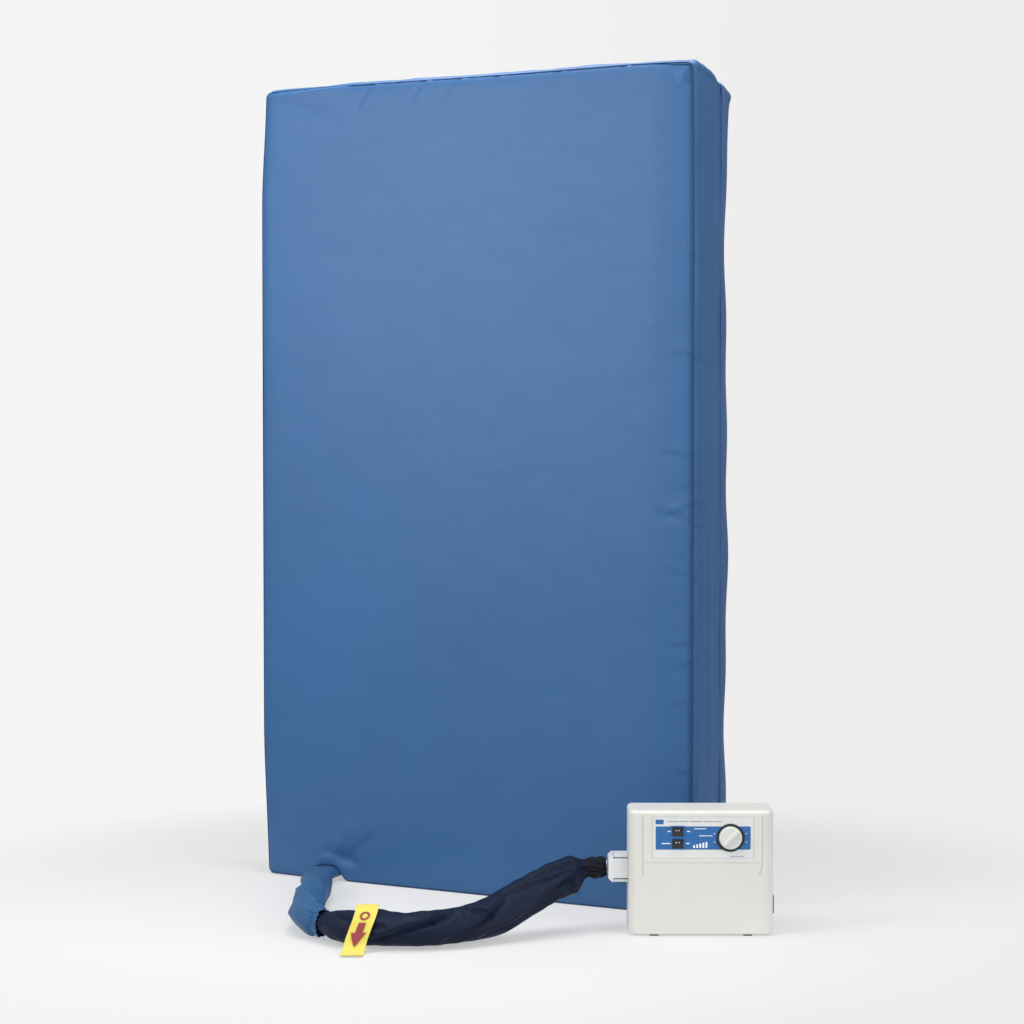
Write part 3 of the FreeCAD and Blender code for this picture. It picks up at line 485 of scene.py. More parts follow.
def piece(name, points, faces, finish, body):
    """A smooth-shaded piece that rides on a CAD body."""
    mesh = bpy.data.meshes.new(name)
    mesh.from_pydata(np.asarray(points, float).reshape(-1, 3).tolist(), [], faces)
    mesh.validate()
    mesh.shade_smooth()
    mesh.materials.append(finish)
    made = bpy.data.objects.new(name, mesh)
    bpy.context.scene.collection.objects.link(made)
    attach(made, body)
    return made


def thicken(made, thickness, offset=-1.0):
    change = made.modifiers.new("cloth_thickness", "SOLIDIFY")
    change.thickness, change.offset = thickness, offset
    return made


def refine(made, levels=1):
    change = made.modifiers.new("soften", "SUBSURF")
    change.levels = change.render_levels = levels
    return made


CORNER_STEPS = 6
OUTLINE = 4 * CORNER_STEPS


# %% Waves and steps
def smooth(value, low, high):
    """0 at low, 1 at high, with no corner between."""
    share = np.clip((value - low) / (high - low), 0, 1)
    return share * share * (3 - 2 * share)


def waves(seed, first, second, low, high, count=7):
    """An uneven but repeatable surface between -1 and 1, from waves in seeded directions."""
    chance = np.random.default_rng(seed)
    total = np.zeros(np.broadcast(first, second).shape)
    for _ in range(count):
        size, way, phase = chance.uniform(low, high), chance.uniform(0, 2 * np.pi), chance.uniform(0,
                                                                                                   2 * np.pi)
        total += np.sin(2 * np.pi * size * (first * np.cos(way) + second * np.sin(way)) + phase)
    return total / count ** 0.5 / 1.5


def crease(first, second, start, end, width, taper=0.25, sharp=2.0):
    """1 along a line from start to end, falling to 0 at its sides and its ends."""
    start, end = np.array(start), np.array(end)
    way = end - start
    share = ((first - start[0]) * way[0] + (second - start[1]) * way[1]) / (way @ way)
    off = np.hypot(first - start[0] - way[0] * np.clip(share, 0, 1),
                   second - start[1] - way[1] * np.clip(share, 0, 1))
    return np.exp(-(off / width) ** sharp) * smooth(share, -taper, taper) * smooth(1 - share, -taper, taper)


# %% [markdown]
# ## The cover's panels
# The stretch cover is sewn from a front panel and a long boxing strip, joined by a seam that
# runs all round the front edge. Both are pulled tight over foam and air cells, so the front is
# almost flat, rolls back just before the seam, and the strip bulges a little beyond it. One
# mesh holds both: a grid for the front, finer near its edges, and rows that carry its outline
# back over the sides. The rounded corners come from bending the grid's corner squares into
# quarter discs, which leaves no point where many faces meet.

# %% Front panel grid
HALF_WIDTH = 0.600
HEIGHT = 2.000
FRONT_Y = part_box("top_cover")[0][1]
CORNER = 0.015
SEAM_Y = FRONT_Y + 0.008
edge_steps = np.array([0, 0.0022, 0.0045, 0.0075, 0.011, 0.0155, 0.021, 0.028, 0.036, 0.045])


def grid_lines(low, high, pitch):
    middle = np.linspace(low + 0.045, high - 0.045, int((high - low - 0.09) / pitch) + 1)
    return np.concatenate([low + edge_steps[:-1], middle, (high - edge_steps[:-1])[::-1]])


flat_x, flat_z = np.meshgrid(grid_lines(-HALF_WIDTH, HALF_WIDTH, 0.0085), grid_lines(0.0, HEIGHT, 0.0085))
print("front grid", flat_x.shape)


# %% Outline of the cover
def rounded(x, z):
    """Bend the corner squares of the grid into quarter discs."""
    mid = HEIGHT / 2
    over_x = np.clip((np.abs(x) - (HALF_WIDTH - CORNER)) / CORNER, 0, 1)
    over_z = np.clip((np.abs(z - mid) - (mid - CORNER)) / CORNER, 0, 1)
    bent_x = over_x * np.sqrt(1 - over_z ** 2 / 2)
    bent_z = over_z * np.sqrt(1 - over_x ** 2 / 2)
    return x - np.sign(x) * (over_x - bent_x) * CORNER, z - np.sign(z - mid) * (over_z - bent_z) * CORNER


def arch(x):
    """How far the foot edge lifts over the sleeve that comes out under it."""
    return 0.039 * smooth(x, -0.484, -0.446) * smooth(-x, 0.366, 0.406)


def pulled_in(x, z):
    """The seam sits inside the widest line of the sides, and more so towards the corners."""
    corner_x, corner_z = HALF_WIDTH - np.abs(x), np.minimum(z, HEIGHT - z)
    near_x, near_z = np.exp(-corner_z / 0.10), np.exp(-corner_x / 0.10)
    edge_x, edge_z = np.exp(-corner_x / 0.05), np.exp(-corner_z / 0.05)
    x = x - np.sign(x) * edge_x * (0.0045 + 0.0050 * near_x)
    x = x - (0.0120 + 0.0100 * smooth(z, 0.04, 0.40) * smooth(-z, -1.96, -1.70)) * smooth(-x, 0.40, 0.60)
    head = smooth(z, 1.0, 1.5)
    z = z - head * edge_z * (0.0035 + 0.0045 * near_z) + (1 - head) * edge_z * (0.0026 + 0.0030 * near_z)
    return x, z


front_x, front_z = pulled_in(*rounded(flat_x, flat_z))
front_z = front_z + arch(front_x) * np.exp(-np.maximum(front_z, 0) / 0.030)
head_left = np.exp(-(HEIGHT - front_z) / 0.06) * (1 - smooth(front_x, -0.600, -0.363))
front_z = front_z - 0.0025 * head_left + 0.006 * np.exp(-(HEIGHT - front_z) / 0.3) * smooth(front_x, 0.0,
                                                                                            0.55)
print("seam from", front_x.min().round(4), "to", front_x.max().round(4))

# %% [markdown]
# ## Relief of the front
# The front gets its depth from a list of things the cloth does: the roll into the seam, a slight
# crown, puckers where the thread pulls, folds under the head seam, and slow unevenness from
# what is inside. Adding them as heights keeps each one easy to move or remove.

# %% Creases that show on the front
head_folds = [((-0.278, 2.000), (-0.326, 1.940)), ((-0.128, 2.000), (-0.172, 1.945)),
              ((-0.026, 2.000), (-0.092, 1.942)), ((0.084, 2.000), (0.022, 1.948)),
              ((0.250, 2.000), (0.215, 1.968)), ((0.420, 2.000), (0.396, 1.972))]
side_puckers = [(1.070, 0.075), (1.012, 0.055), (0.970, 0.085), (0.946, 0.050), (0.918, 0.090),
                (0.787, 0.070),
                (0.637, 0.080), (0.598, 0.055), (0.506, 0.070), (1.310, 0.045), (1.540, 0.040),
                (0.330, 0.055)]
distance = np.minimum(HALF_WIDTH - np.abs(flat_x), np.minimum(flat_z, HEIGHT - flat_z))
proud = 0.0080 * (1 - np.exp(-distance / 0.010)) + 0.0030 * (1 - np.exp(-distance / 0.12))
proud -= (0.0085 + 0.0045 * smooth(-front_z, -1.0, -0.2)) * smooth(front_x, 0.476, 0.600)
proud += 0.0006 * waves(3, front_x, front_z, 0.8, 2.4) + 0.00025 * waves(4, front_x, front_z, 5, 11)
for start, end in head_folds:
    shift = (0.010, 0.004)
    beside = [(start[0] + shift[0], start[1] + shift[1]), (end[0] + shift[0], end[1] + shift[1])]
    proud -= 0.0034 * crease(front_x, front_z, start, end, 0.007, sharp=1.5)
    proud += 0.0024 * crease(front_x, front_z, *beside, 0.008)
for number, (z, reach) in enumerate(side_puckers):
    tilt = 0.45 * math.sin(5.1 * number + 0.6) * reach
    depth = 0.0017 + 0.0006 * math.sin(3.7 * number)
    proud -= depth * crease(front_x, front_z, (0.602, z + 0.004), (0.602 - reach, z + tilt), 0.0065,
                            sharp=1.6)
    proud += 0.8 * depth * crease(front_x, front_z, (0.602, z + 0.016),
                                  (0.602 - 0.8 * reach, z + 0.012 + tilt), 0.008)

# %% Corner folds and the pull over the outlet
corner_folds = [((-0.573, 1.978), (-0.363, 1.996), 0.009, 0.0018),
                ((-0.590, 1.960), (-0.430, 1.935), 0.014, -0.0012),
                ((0.553, 0.852), (0.595, 0.806), 0.006, -0.0014),
                ((0.530, 1.998), (0.580, 1.930), 0.010, -0.0012),
                ((0.560, 1.985), (0.572, 1.955), 0.012, 0.0018),
                ((0.500, 1.992), (0.470, 1.950), 0.009, -0.0009),
                ((-0.430, 0.078), (-0.335, 0.050), 0.013, -0.0034),
                ((-0.470, 0.075), (-0.425, 0.098), 0.014, 0.0010),
                ((-0.500, 0.020), (-0.560, 0.110), 0.012, -0.0014),
                ((-0.350, 0.030), (-0.290, 0.115), 0.014, -0.0016),
                ((-0.405, 0.065), (-0.350, 0.150), 0.014, 0.0022),
                ((-0.375, 0.050), (-0.285, 0.125), 0.010, -0.0020),
                ((-0.445, 0.052), (-0.400, 0.064), 0.010, 0.0009),
                ((0.560, 0.018), (0.480, 0.120), 0.014, -0.0012),
                ((0.420, 0.006), (0.400, 0.120), 0.018, 0.0009),
                ((0.330, 0.006), (0.322, 0.090), 0.016, -0.0008)]
for start, end, width, rise in corner_folds:
    proud += 2.0 * rise * crease(front_x, front_z, start, end, width, sharp=1.6)
seam_pucker = np.exp(-distance / 0.012) * 0.0005
proud += seam_pucker * np.sin(2 * np.pi * (front_x + front_z) / 0.034 + 2 * waves(8, front_x, front_z, 1, 3))
front_y = SEAM_Y - proud
print("front lies between", front_y.min().round(4), "and", front_y.max().round(4))

# %% [markdown]
# ## The boxing strip
# The strip's rows start at the seam. The first few dip into it, as two layers of cloth do where
# a thread draws them together, and the rest bulge, then run back to the edge of the zip flap.
# Each side bulges by its own amount: the head most, the foot not at all, because it is what the
# mattress stands on.

# %% Outline of the seam, in order round the cover
rows, columns = flat_x.shape
index = np.arange(rows * columns).reshape(rows, columns)
ring = np.concatenate([index[0, :-1], index[:-1, -1], index[-1, :0:-1], index[:0:-1, 0]])
seam_x, seam_z = front_x.ravel()[ring], front_z.ravel()[ring]
plain_x, plain_z = rounded(flat_x.ravel()[ring], flat_z.ravel()[ring])
inner_x = np.clip(plain_x, -(HALF_WIDTH - CORNER), HALF_WIDTH - CORNER)
inner_z = np.clip(plain_z, CORNER, HEIGHT - CORNER)
out_x, out_z = (plain_x - inner_x) / CORNER, (plain_z - inner_z) / CORNER
print("seam points", len(ring))

# %% Rows of the strip
strip_back = np.array([0.0007, 0.0016, 0.0026, 0.0040, 0.0065, 0.010, 0.015, 0.021, 0.028, 0.036, 0.044,
                       0.053,
                       0.062, 0.071, 0.080, 0.089, 0.098, 0.107, 0.115, 0.122, 0.128, 0.134, 0.139, 0.1425,
                       0.145])
back = strip_back[:, None]
dip = -0.0042 * np.exp(-((back - 0.0018) / 0.0014) ** 2) - 0.0008 * np.exp(-((back - 0.141) / 0.0015) ** 2)
head, right, left, foot = (np.clip(side, 0, 1) for side in (out_z, out_x, -out_x, -out_z))
bulge = head * 0.0095 + right * 0.0080 + left * 0.0020
swell = smooth(back, 0.0015, 0.020) * (1 - 0.45 * smooth(back, 0.085, 0.145))
y_now = SEAM_Y + back + 0 * seam_x
folds = 0.0022 * waves(24, y_now, 0.030 * (seam_z + 1.3 * seam_x), 12, 38, 9)
folds = folds * smooth(back, 0.010, 0.04) * (1 - smooth(back, 0.110, 0.138))
folds = folds * (0.30 + 0.70 * smooth(waves(21, seam_z + 0.7 * seam_x, 0.3 * y_now, 0.6, 2.2), -0.4, 0.8))
long_wave = 0.0016 * waves(22, seam_z + 1.7 * seam_x, y_now, 1.2, 3.5)
short_wave = 0.0006 * waves(23, seam_z - 1.3 * seam_x, y_now, 7, 15)
strip_out = dip + bulge * swell + (folds + long_wave + short_wave) * (1 - foot) * smooth(back, 0.003, 0.02)
for z, reach in side_puckers:
    strip_out = strip_out - right * 0.0026 * crease(y_now, seam_z + 0 * y_now, (SEAM_Y, z),
                                                    (SEAM_Y + 0.05, z - 0.012), 0.006)


# %% The head slopes down towards its back corners
def back_slope(x, y, z):
    """How far the head face has dropped, towards the back and the ends."""
    toward_back = 0.055 * np.clip((y - FRONT_Y) / 0.185, 0, 1) ** 1.9
    end = 0.12 + 0.88 * smooth(x, 0.22, 0.60) + 0.45 * smooth(-x, 0.30, 0.60)
    return toward_back * end * smooth(z, 1.90, 2.00)


strip_x = seam_x + out_x * strip_out
strip_z = seam_z + out_z * strip_out
tunnel = 1 - smooth(y_now, -0.040, -0.024)
strip_z = np.where(foot > 0.5, 0.0016 + arch(strip_x) * tunnel + 0.0020 * np.exp(-(back / 0.006) ** 2),
                   strip_z)
strip_z = strip_z - back_slope(strip_x, y_now, strip_z)
strip_points = np.stack([strip_x, y_now, strip_z], axis=-1)
front_points = np.stack([front_x, front_y, front_z], axis=-1).reshape(-1, 3)

# %% Join the front and the strip in one mesh
count = len(ring)
cover_faces = grid_faces(rows, columns)
first = len(front_points)
around = np.arange(count)
after = (around + 1) % count
cover_faces += np.stack([ring[around], first + around, first + after, ring[after]], axis=-1).tolist()
cover_faces += [face[::-1] for face in grid_faces(len(strip_back), count, True, first)]
cover = piece("cover", np.concatenate([front_points, strip_points.reshape(-1, 3)]), cover_faces, cover_cloth,
              "mattress")
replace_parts(cover, "top_cover")
print("cover", len(cover.data.vertices), "points")

# %% Piping in the seam
# A cord along the seam in a darker blue than the cover. The cord is geometry, and its darkness is painted
# shade for the seam's dark line.
piping = []
for angle in np.linspace(0, 2 * np.pi, 8, endpoint=False):
    offset = 0.0001 + 0.0017 * math.cos(angle)
    piping.append(np.stack([seam_x + out_x * offset,
                            np.full(count, SEAM_Y + 0.0001 + 0.0017 * math.sin(angle)),
                            seam_z + out_z * offset], axis=-1))
piping_faces = grid_faces(8, count, True) + [[7 * count + a, 7 * count + b, b, a] for a,
                                             b in zip(around.tolist(), after.tolist())]
piping_cord = piece("seam_piping", np.concatenate(piping), piping_faces, seam_shade_piping_cloth, "mattress")
print("piping", len(piping_cord.data.vertices), "points")

# %% [markdown]
# ## What the cover holds
# Foam bolsters stand round sixteen air cells on a foam base. They are closed blocks with soft
# edges, made row by row along their longest side, and they keep a finger's width inside the
# cover. A cell is film, welded flat at both ends, so its last rows pinch.


# %% Blocks and cells
def stuffed(name, low, high, edge, finish, pinch=False):
    """A closed block with rounded edges between two corners, which follows the head's slope."""
    low, high = np.array(low, float), np.array(high, float)
    long_way = int(np.argmax(high - low))
    ways = [way for way in range(3) if way != long_way]
    middle, half = (low + high) / 2, (high - low) / 2
    quarter = np.linspace(0, np.pi / 2, CORNER_STEPS)
    turns = np.concatenate([quarter + k * np.pi / 2 for k in range(4)])
    signs = np.repeat([(1, 1), (-1, 1), (-1, -1), (1, -1)], CORNER_STEPS, axis=0)
    lead = edge * (1 - np.sin(np.linspace(np.pi / 2, 0, 8)))[::-1]
    inset = edge * (1 - np.sqrt(np.maximum(0, 1 - (1 - lead / edge) ** 2))) * 0.97
    steps = np.linspace(edge, 2 * half[long_way] - edge, max(3, int(2 * half[long_way] / 0.03)))
    places = np.concatenate([np.sort(lead), steps[1:-1], 2 * half[long_way] - np.sort(lead)[::-1]])
    insets = np.concatenate([inset[np.argsort(lead)], 0 * steps[1:-1], inset[np.argsort(lead)][::-1]])
    rows_made = []
    for place, drawn in zip(places, insets):
        corner_size = edge - drawn
        section = np.zeros((OUTLINE, 3))
        section[:, long_way] = low[long_way] + place
        for k, way in enumerate(ways):
            reach = half[way] - drawn - corner_size
            spread = signs[:, k] * reach + corner_size * (np.cos(turns) if k == 0 else np.sin(turns))
            if pinch and way == 1:
                near_end = min(place, 2 * half[long_way] - place)
                spread = spread * (0.02 + 0.98 * math.sqrt(1
                                                           - (1 - min(1.0, max(0.0, near_end
                                                                               - 0.010) / 0.055)) ** 2))
            section[:, way] = middle[way] + spread
        rows_made.append(section)
    points = np.array(rows_made)
    if high[2] < 0.2:
        points[..., 2] += 0.85 * arch(points[...,
                                             0]) * np.clip((high[2] - points[..., 2]) / (high[2] - low[2]), 0,
                                                           1)
    points[..., 2] -= back_slope(points[..., 0], points[..., 1], points[..., 2])
    last = (len(points) - 1) * OUTLINE
    faces = grid_faces(len(points), OUTLINE, True)
    faces += [list(range(OUTLINE))[::-1], [last + k for k in range(OUTLINE)]]
    if np.linalg.det(np.eye(3)[[ways[0], ways[1], long_way]]) < 0:
        faces = [face[::-1] for face in faces]
    made = piece(name, points, faces, finish, "mattress")
    return made


# %% Foam and cells
inner_blocks = {
    "foam_base": ((-0.566, 0.031, 0.034), (0.566, 0.0775, 1.958), 0.012, foam_cream),
    "side_bolster_left": ((-0.582, -0.077, 0.072), (-0.501, 0.026, 1.928), 0.018, bolster_foam),
    "side_bolster_right": ((0.501, -0.077, 0.072), (0.582, 0.026, 1.928), 0.018, bolster_foam),
    "head_bolster": ((-0.582, -0.077, 1.931), (0.582, 0.026, 1.977), 0.018, bolster_foam),
    "foot_bolster": ((-0.582, -0.077, 0.020), (0.582, 0.026, 0.069), 0.018, bolster_foam),
}
for name, (low, high, edge, finish) in inner_blocks.items():
    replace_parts(stuffed(name + "_block", low, high, edge, finish), name)
for number in range(1, 17):
    node = "air_cell_%02d" % number
    low, high = (np.array(corner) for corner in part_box(node))
    cell = stuffed("cell_%02d" % number, low + (0, 0.012, 0.0008), high - (0.001, 0.001, 0.0008), 0.042,
                   bladder_film,
                   True)
    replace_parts(cell, node)
print("blocks", len(inner_blocks), "cells 16")

# %% [markdown]
# ## Flap, zip and base
# Behind the strip's edge hangs a flap of greyer cloth that keeps liquids off the zip. It is only
# caught at its front edge, so its back edge waves. Under it lie the zip's tape and teeth, and
# the tougher base panel starts there.


# %% A band all round the mattress
def band(name, rows_of, finish, wave=0.0, seed=0, thick=0.0012):
    """A band from (inset, y) rows, which follows the cover's outline at each inset."""
    points = []
    for number, (inset, y) in enumerate(rows_of):
        loose = wave * number / max(1, len(rows_of) - 1)
        swing = loose * (0.35 + waves(seed, plain_z + 2.3 * plain_x, 0 * plain_x, 1.2, 4.0))
        radius_x, radius_z = plain_x - out_x * (inset - swing), plain_z - out_z * (inset - swing * (1 - foot))
        y_at = y + 0.35 * loose * waves(seed + 1, plain_z - 1.9 * plain_x, 0 * plain_x, 2, 6)
        z_at = np.maximum(radius_z, 0.0012) - back_slope(radius_x, y_at, radius_z)
        points.append(np.stack([radius_x, y_at, z_at], axis=-1))
    faces = [face[::-1] for face in grid_faces(len(rows_of), count, True)]
    return thicken(piece(name, np.concatenate(points), faces, finish, "mattress"), thick)


flap_rows = [(0.0030, 0.0535), (-0.0012, 0.0545), (-0.0022, 0.0570), (-0.0020, 0.0620), (-0.0010, 0.0680),
             (0.0000, 0.0740), (0.0012, 0.0800), (0.0022, 0.0850), (0.0035, 0.0885), (0.0052, 0.0900),
             (0.0066, 0.0892)]
band("zip_flap", flap_rows, flap_cloth, 0.0085, 31)
tape = band("zip_tape", [(0.0030, 0.0545), (0.0120, 0.0550), (0.0142, 0.0580), (0.0142, 0.0680),
                         (0.0142, 0.0780)],
            zip_cloth, 0.0006, 41, 0.0009)
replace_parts(tape, "cover_zip")
print("bands ready")

# %% [markdown]
# ## Zip teeth
# A coil zip is one nylon thread wound into loops. At this size a loop is a small bead that
# leans, and thousands of them lie in a row, so they are cut from one strip: its rows are spaced
# at half a loop, and every second row stands out.


# %% Zip coil
def zip_coil():
    steps = int(2 * (2 * HALF_WIDTH + 2 * HEIGHT) / 0.0026) // 2 * 2
    share = np.linspace(0, 1, steps, endpoint=False)
    corner = np.concatenate([[0], np.cumsum(np.hypot(np.diff(plain_x, append=plain_x[0]),
                                                     np.diff(plain_z, append=plain_z[0])))])
    place = share * corner[-1]
    line = [np.interp(place, corner, np.append(values, values[0]))
            for values in (plain_x, plain_z, out_x, out_z)]
    points = []
    stand = np.where(np.arange(steps) % 2, 0.0016, 0.0007)
    for y, height in ((0.0680, 0.0), (0.0686, 0.8), (0.0700, 1.0), (0.0709, 0.5), (0.0710, 0.2),
                      (0.0711, 0.5),
                      (0.0720, 1.0), (0.0734, 0.8), (0.0740, 0.0)):
        inset = 0.0136 - height * stand
        x, z = line[0] - line[2] * inset, line[1] - line[3] * inset
        points.append(np.stack([x, y + 0 * x, np.maximum(z, 0.002) - back_slope(x, y, z)], axis=-1))
    faces = [face[::-1] for face in grid_faces(9, steps, True)]
    return piece("zip_coil", np.concatenate(points), faces, zip_nylon, "mattress")


coil = zip_coil()
print("zip coil", len(coil.data.vertices), "points")

# %% [markdown]
# ## Base panel
# The base is a tougher coated cloth, flat against the bed. It has a shallow rim that meets the
# zip, and slight dents where the bed straps pull.

# %% Base panel
base_x, base_z = np.meshgrid(np.linspace(-0.586, 0.586, 96), np.linspace(0.014, 1.986, 160))
base_edge = np.minimum(0.586 - np.abs(base_x), np.minimum(base_z - 0.014, 1.986 - base_z))
base_y = 0.0795 + 0.0148 * (1 - np.exp(-(base_edge + 0.0004) / 0.004))
base_y += 0.0006 * waves(51, base_x, base_z, 1.0, 3.0) * smooth(base_edge, 0, 0.05)
base_y += 0.0005 * waves(52, base_x, base_z, 6.0, 12.0) * np.exp(-base_edge / 0.05)
for strap_z in (0.380, 1.620):
    base_y -= 0.0012 * np.exp(-((base_z - strap_z) / 0.03) ** 2) * smooth(0.56 - np.abs(base_x), 0, 0.02)
base_y = np.minimum(base_y, 0.0948)
base_points = np.stack([base_x, base_y, base_z - back_slope(base_x, base_y, base_z)], axis=-1)
base = piece("base_panel", base_points, grid_faces(160, 96), base_cloth, "mattress")
thicken(base, 0.0012, -1.0)
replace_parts(base, "base_cover")
print("base panel", len(base.data.vertices), "points")


# %% Bed straps
def bed_strap(name, side, z):
    """One length of webbing, stitched down at its outer end and looped into the buckle."""
    half = 0.019
    across = np.linspace(-half, half, 9)
    along = np.concatenate([np.linspace(0.046, 0.060, 6), np.linspace(0.066, 0.500, 60),
                            np.linspace(0.503, 0.540, 8)])
    y = 0.0966 + 0.0004 * np.sin(along * 60) + 0.0030 * (1 - smooth(along, 0.046, 0.085)) \
        + 0.0016 * np.sin(np.clip((along - 0.10) / 0.38, 0, 1) * np.pi) ** 2
    y[-8:] = 0.0962 + 0.0003 * (np.arange(8) % 2)
    sag = 0.0035 * np.sin(np.clip((along - 0.06) / 0.44, 0, 1) * np.pi)
    points = np.zeros((len(along), len(across), 3))
    points[..., 0] = side * along[:, None]
    points[..., 1] = y[:, None] - 0.0004 * np.abs(across / half) ** 4
    points[..., 2] = z + across - sag[:, None]
    faces = grid_faces(len(along), len(across))
    strap = piece(name, points, faces if side > 0 else [f[::-1] for f in faces], webbing_cloth, "mattress")
    thicken(strap, 0.0014, -1.0)
    return strap


bed_straps = [bed_strap("bed_strap_%s_%s" % (where, hand), side, z) for where,
              z in (("foot", 0.380), ("head", 1.620))
              for hand, side in (("left", -1), ("right", 1))]
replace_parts(bed_straps[0], "base_straps")
print("bed straps", len(bed_straps))

# %% [markdown]
# ## Sleeves on the hose
# Two loose sleeves of thin cloth cover the hose. Such a sleeve is wider than what it holds
# and is pushed together along it, so it stands in long folds that wind round it, and in fine
# gathers where elastic draws its ends in. Each is a tube of stations, with folds added to its
# radius and its underside pressed flat by the floor.


# %% Folds round a tube
def fold(phase, sharp=0.75):
    """A row of soft valleys and narrow ridges, from -1 to 1."""
    return 1 - 2 * np.abs(np.sin(phase / 2)) ** sharp


def sleeve(name, line, along, half_side, half_up, swell, finish, angles, floor=0.0022, drop=0.0):
    spot, side, up = line.at(along)
    spot = spot - np.array([0, 0, 1.0]) * np.asarray(drop).reshape(-1, 1)
    across = side[:, None] * ((half_side[:, None] + swell) * np.cos(angles))[..., None]
    upward = up[:, None] * ((half_up[:, None] + swell) * np.sin(angles))[..., None]
    points = spot[:, None] + across + upward
    above = points[..., 2] - floor
    points[..., 2] = floor + 0.5 * (above + np.sqrt(above ** 2 + 0.004 ** 2))
    faces = [face[::-1] for face in grid_faces(len(along), len(angles), True)]
    made = piece(name, points, faces, finish, "mattress")
    return refine(thicken(made, 0.0011), 1)


# %% Blue sleeve
angles = np.linspace(0, 2 * np.pi, 96, endpoint=False)
blue_along = np.arange(0.040, JOIN + 0.001, 0.0045)
blue_s, blue_a = blue_along[:, None], angles[None, :]
blue_out = smooth(blue_along, 0.055, 0.30)
blue_side = 0.0310 + (0.037 - 0.0310) * blue_out - 0.004 * smooth(blue_along, JOIN - 0.05, JOIN)
blue_up = 0.0165 + (0.035 - 0.0165) * blue_out - 0.002 * smooth(blue_along, JOIN - 0.05, JOIN)
winding = fold(3 * blue_a - 26 * blue_s + 1.2 * waves(61, blue_s * 3, np.sin(blue_a), 0.4, 1.2), 0.8)
blue_swell = 0.0032 * winding * smooth(blue_s, 0.06, 0.16)
blue_swell = blue_swell + 0.0018 * waves(62, blue_s, 0.035 * np.sin(blue_a) + 0.02 * np.cos(2 * blue_a), 9,
                                         22)
gather = np.exp(-((blue_s - (JOIN - 0.024)) / 0.010) ** 2)
gathered = fold(17 * blue_a + 2 * np.sin(2 * blue_a),
                0.8) * (gather + 0.7 * smooth(blue_s, JOIN - 0.02, JOIN))
blue_swell = blue_swell + 0.0026 * gathered - 0.0060 * gather
blue_run, blue_turn = blue_s + 0 * blue_a, blue_a + 0 * blue_s
for station, depth in ((0.560, 0.0040), (0.625, 0.0055), (0.682, 0.0060), (0.735, 0.0050)):
    valley = crease(blue_run, blue_turn, (station, 1.5), (station + 0.035, 4.6), 0.012, 0.3)
    ridge = crease(blue_run, blue_turn, (station + 0.026, 1.5), (station + 0.060, 4.4), 0.014, 0.3)
    blue_swell = blue_swell - depth * valley + 0.6 * depth * ridge
blue = sleeve("blue_sleeve_cloth", hose_line, blue_along, blue_side, blue_up, blue_swell, blue_sleeve_cloth,
              angles, 0.0022)
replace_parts(blue, "blue_sleeve")
print("blue sleeve", len(blue.data.vertices), "points over", round(float(blue_along[-1] - blue_along[0]), 3),
      "m")

# %% Navy sleeve
navy_along = np.arange(JOIN - 0.016, SLEEVE_END + 0.001, 0.0032)
navy_s, navy_a = navy_along[:, None], angles[None, :]
open_in = smooth(navy_along, JOIN - 0.02, JOIN + 0.075)
close_up = smooth(navy_along, SLEEVE_END - 0.034, SLEEVE_END)
wide = smooth(navy_along, 1.16, 1.34)
navy_half = 0.0225 + 0.0170 * open_in + 0.0065 * wide - 0.0260 * close_up
body_of_sleeve = smooth(navy_s, JOIN, JOIN + 0.06) * smooth(-navy_s, -SLEEVE_END, -SLEEVE_END + 0.05)
long_folds = fold(2 * navy_a - 13 * navy_s + 1.8 * waves(71, navy_s * 2, 0.3 * np.sin(navy_a), 0.6, 1.5), 0.7)
amount = 0.5 + 0.5 * waves(73, navy_s, 0.02 * np.sin(navy_a), 2, 5)
navy_swell = (0.0030 * long_folds
              + 0.0020 * amount * waves(72, navy_s, 0.05 * np.sin(navy_a), 4, 9)) * body_of_sleeve
navy_swell = navy_swell + 0.0010 * waves(74, navy_s, 0.04 * np.sin(navy_a) + 0.02 * np.cos(3 * navy_a), 12,
                                         28)
navy_swell = navy_swell + 0.0022 * fold(17 * navy_a, 0.9) * smooth(navy_s, SLEEVE_END - 0.045, SLEEVE_END)
navy_swell = navy_swell + 0.0016 * fold(15 * navy_a, 0.9) * (1 - smooth(navy_s, JOIN - 0.01, JOIN + 0.045))

# %% Creases pressed into the navy sleeve
STRAP_S = hose_line.nearest((0.116, -0.762, 0.041))
arc = np.where(navy_a > np.pi * 1.25, navy_a - 2 * np.pi, navy_a) * 0.040 + 0 * navy_s
run = navy_s + 0 * navy_a
navy_creases = [(1.020, -0.016, 1.175, 0.046, 0.0075, 0.0085), (1.150, -0.030, 1.315, 0.034, 0.0080, 0.0075),
                (1.235, -0.030, 1.520, 0.002, 0.0070, 0.0080), (1.330, 0.050, 1.470, 0.012, 0.0070, 0.0055),
                (0.905, 0.040, 1.030, 0.010, 0.0065, 0.0060), (0.930, -0.030, 1.060, -0.012, 0.0060, 0.0045),
                (1.090, 0.060, 1.130, 0.020, 0.0060, 0.0050), (1.215, 0.052, 1.265, 0.010, 0.0055, 0.0050),
                (1.400, 0.048, 1.530, 0.030, 0.0055, 0.0050), (1.380, -0.044, 1.540, -0.026, 0.0060, 0.0055),
                (1.060, -0.046, 1.240, -0.040, 0.0055, 0.0040), (1.455, 0.020, 1.545, 0.010, 0.0045, 0.0040)]
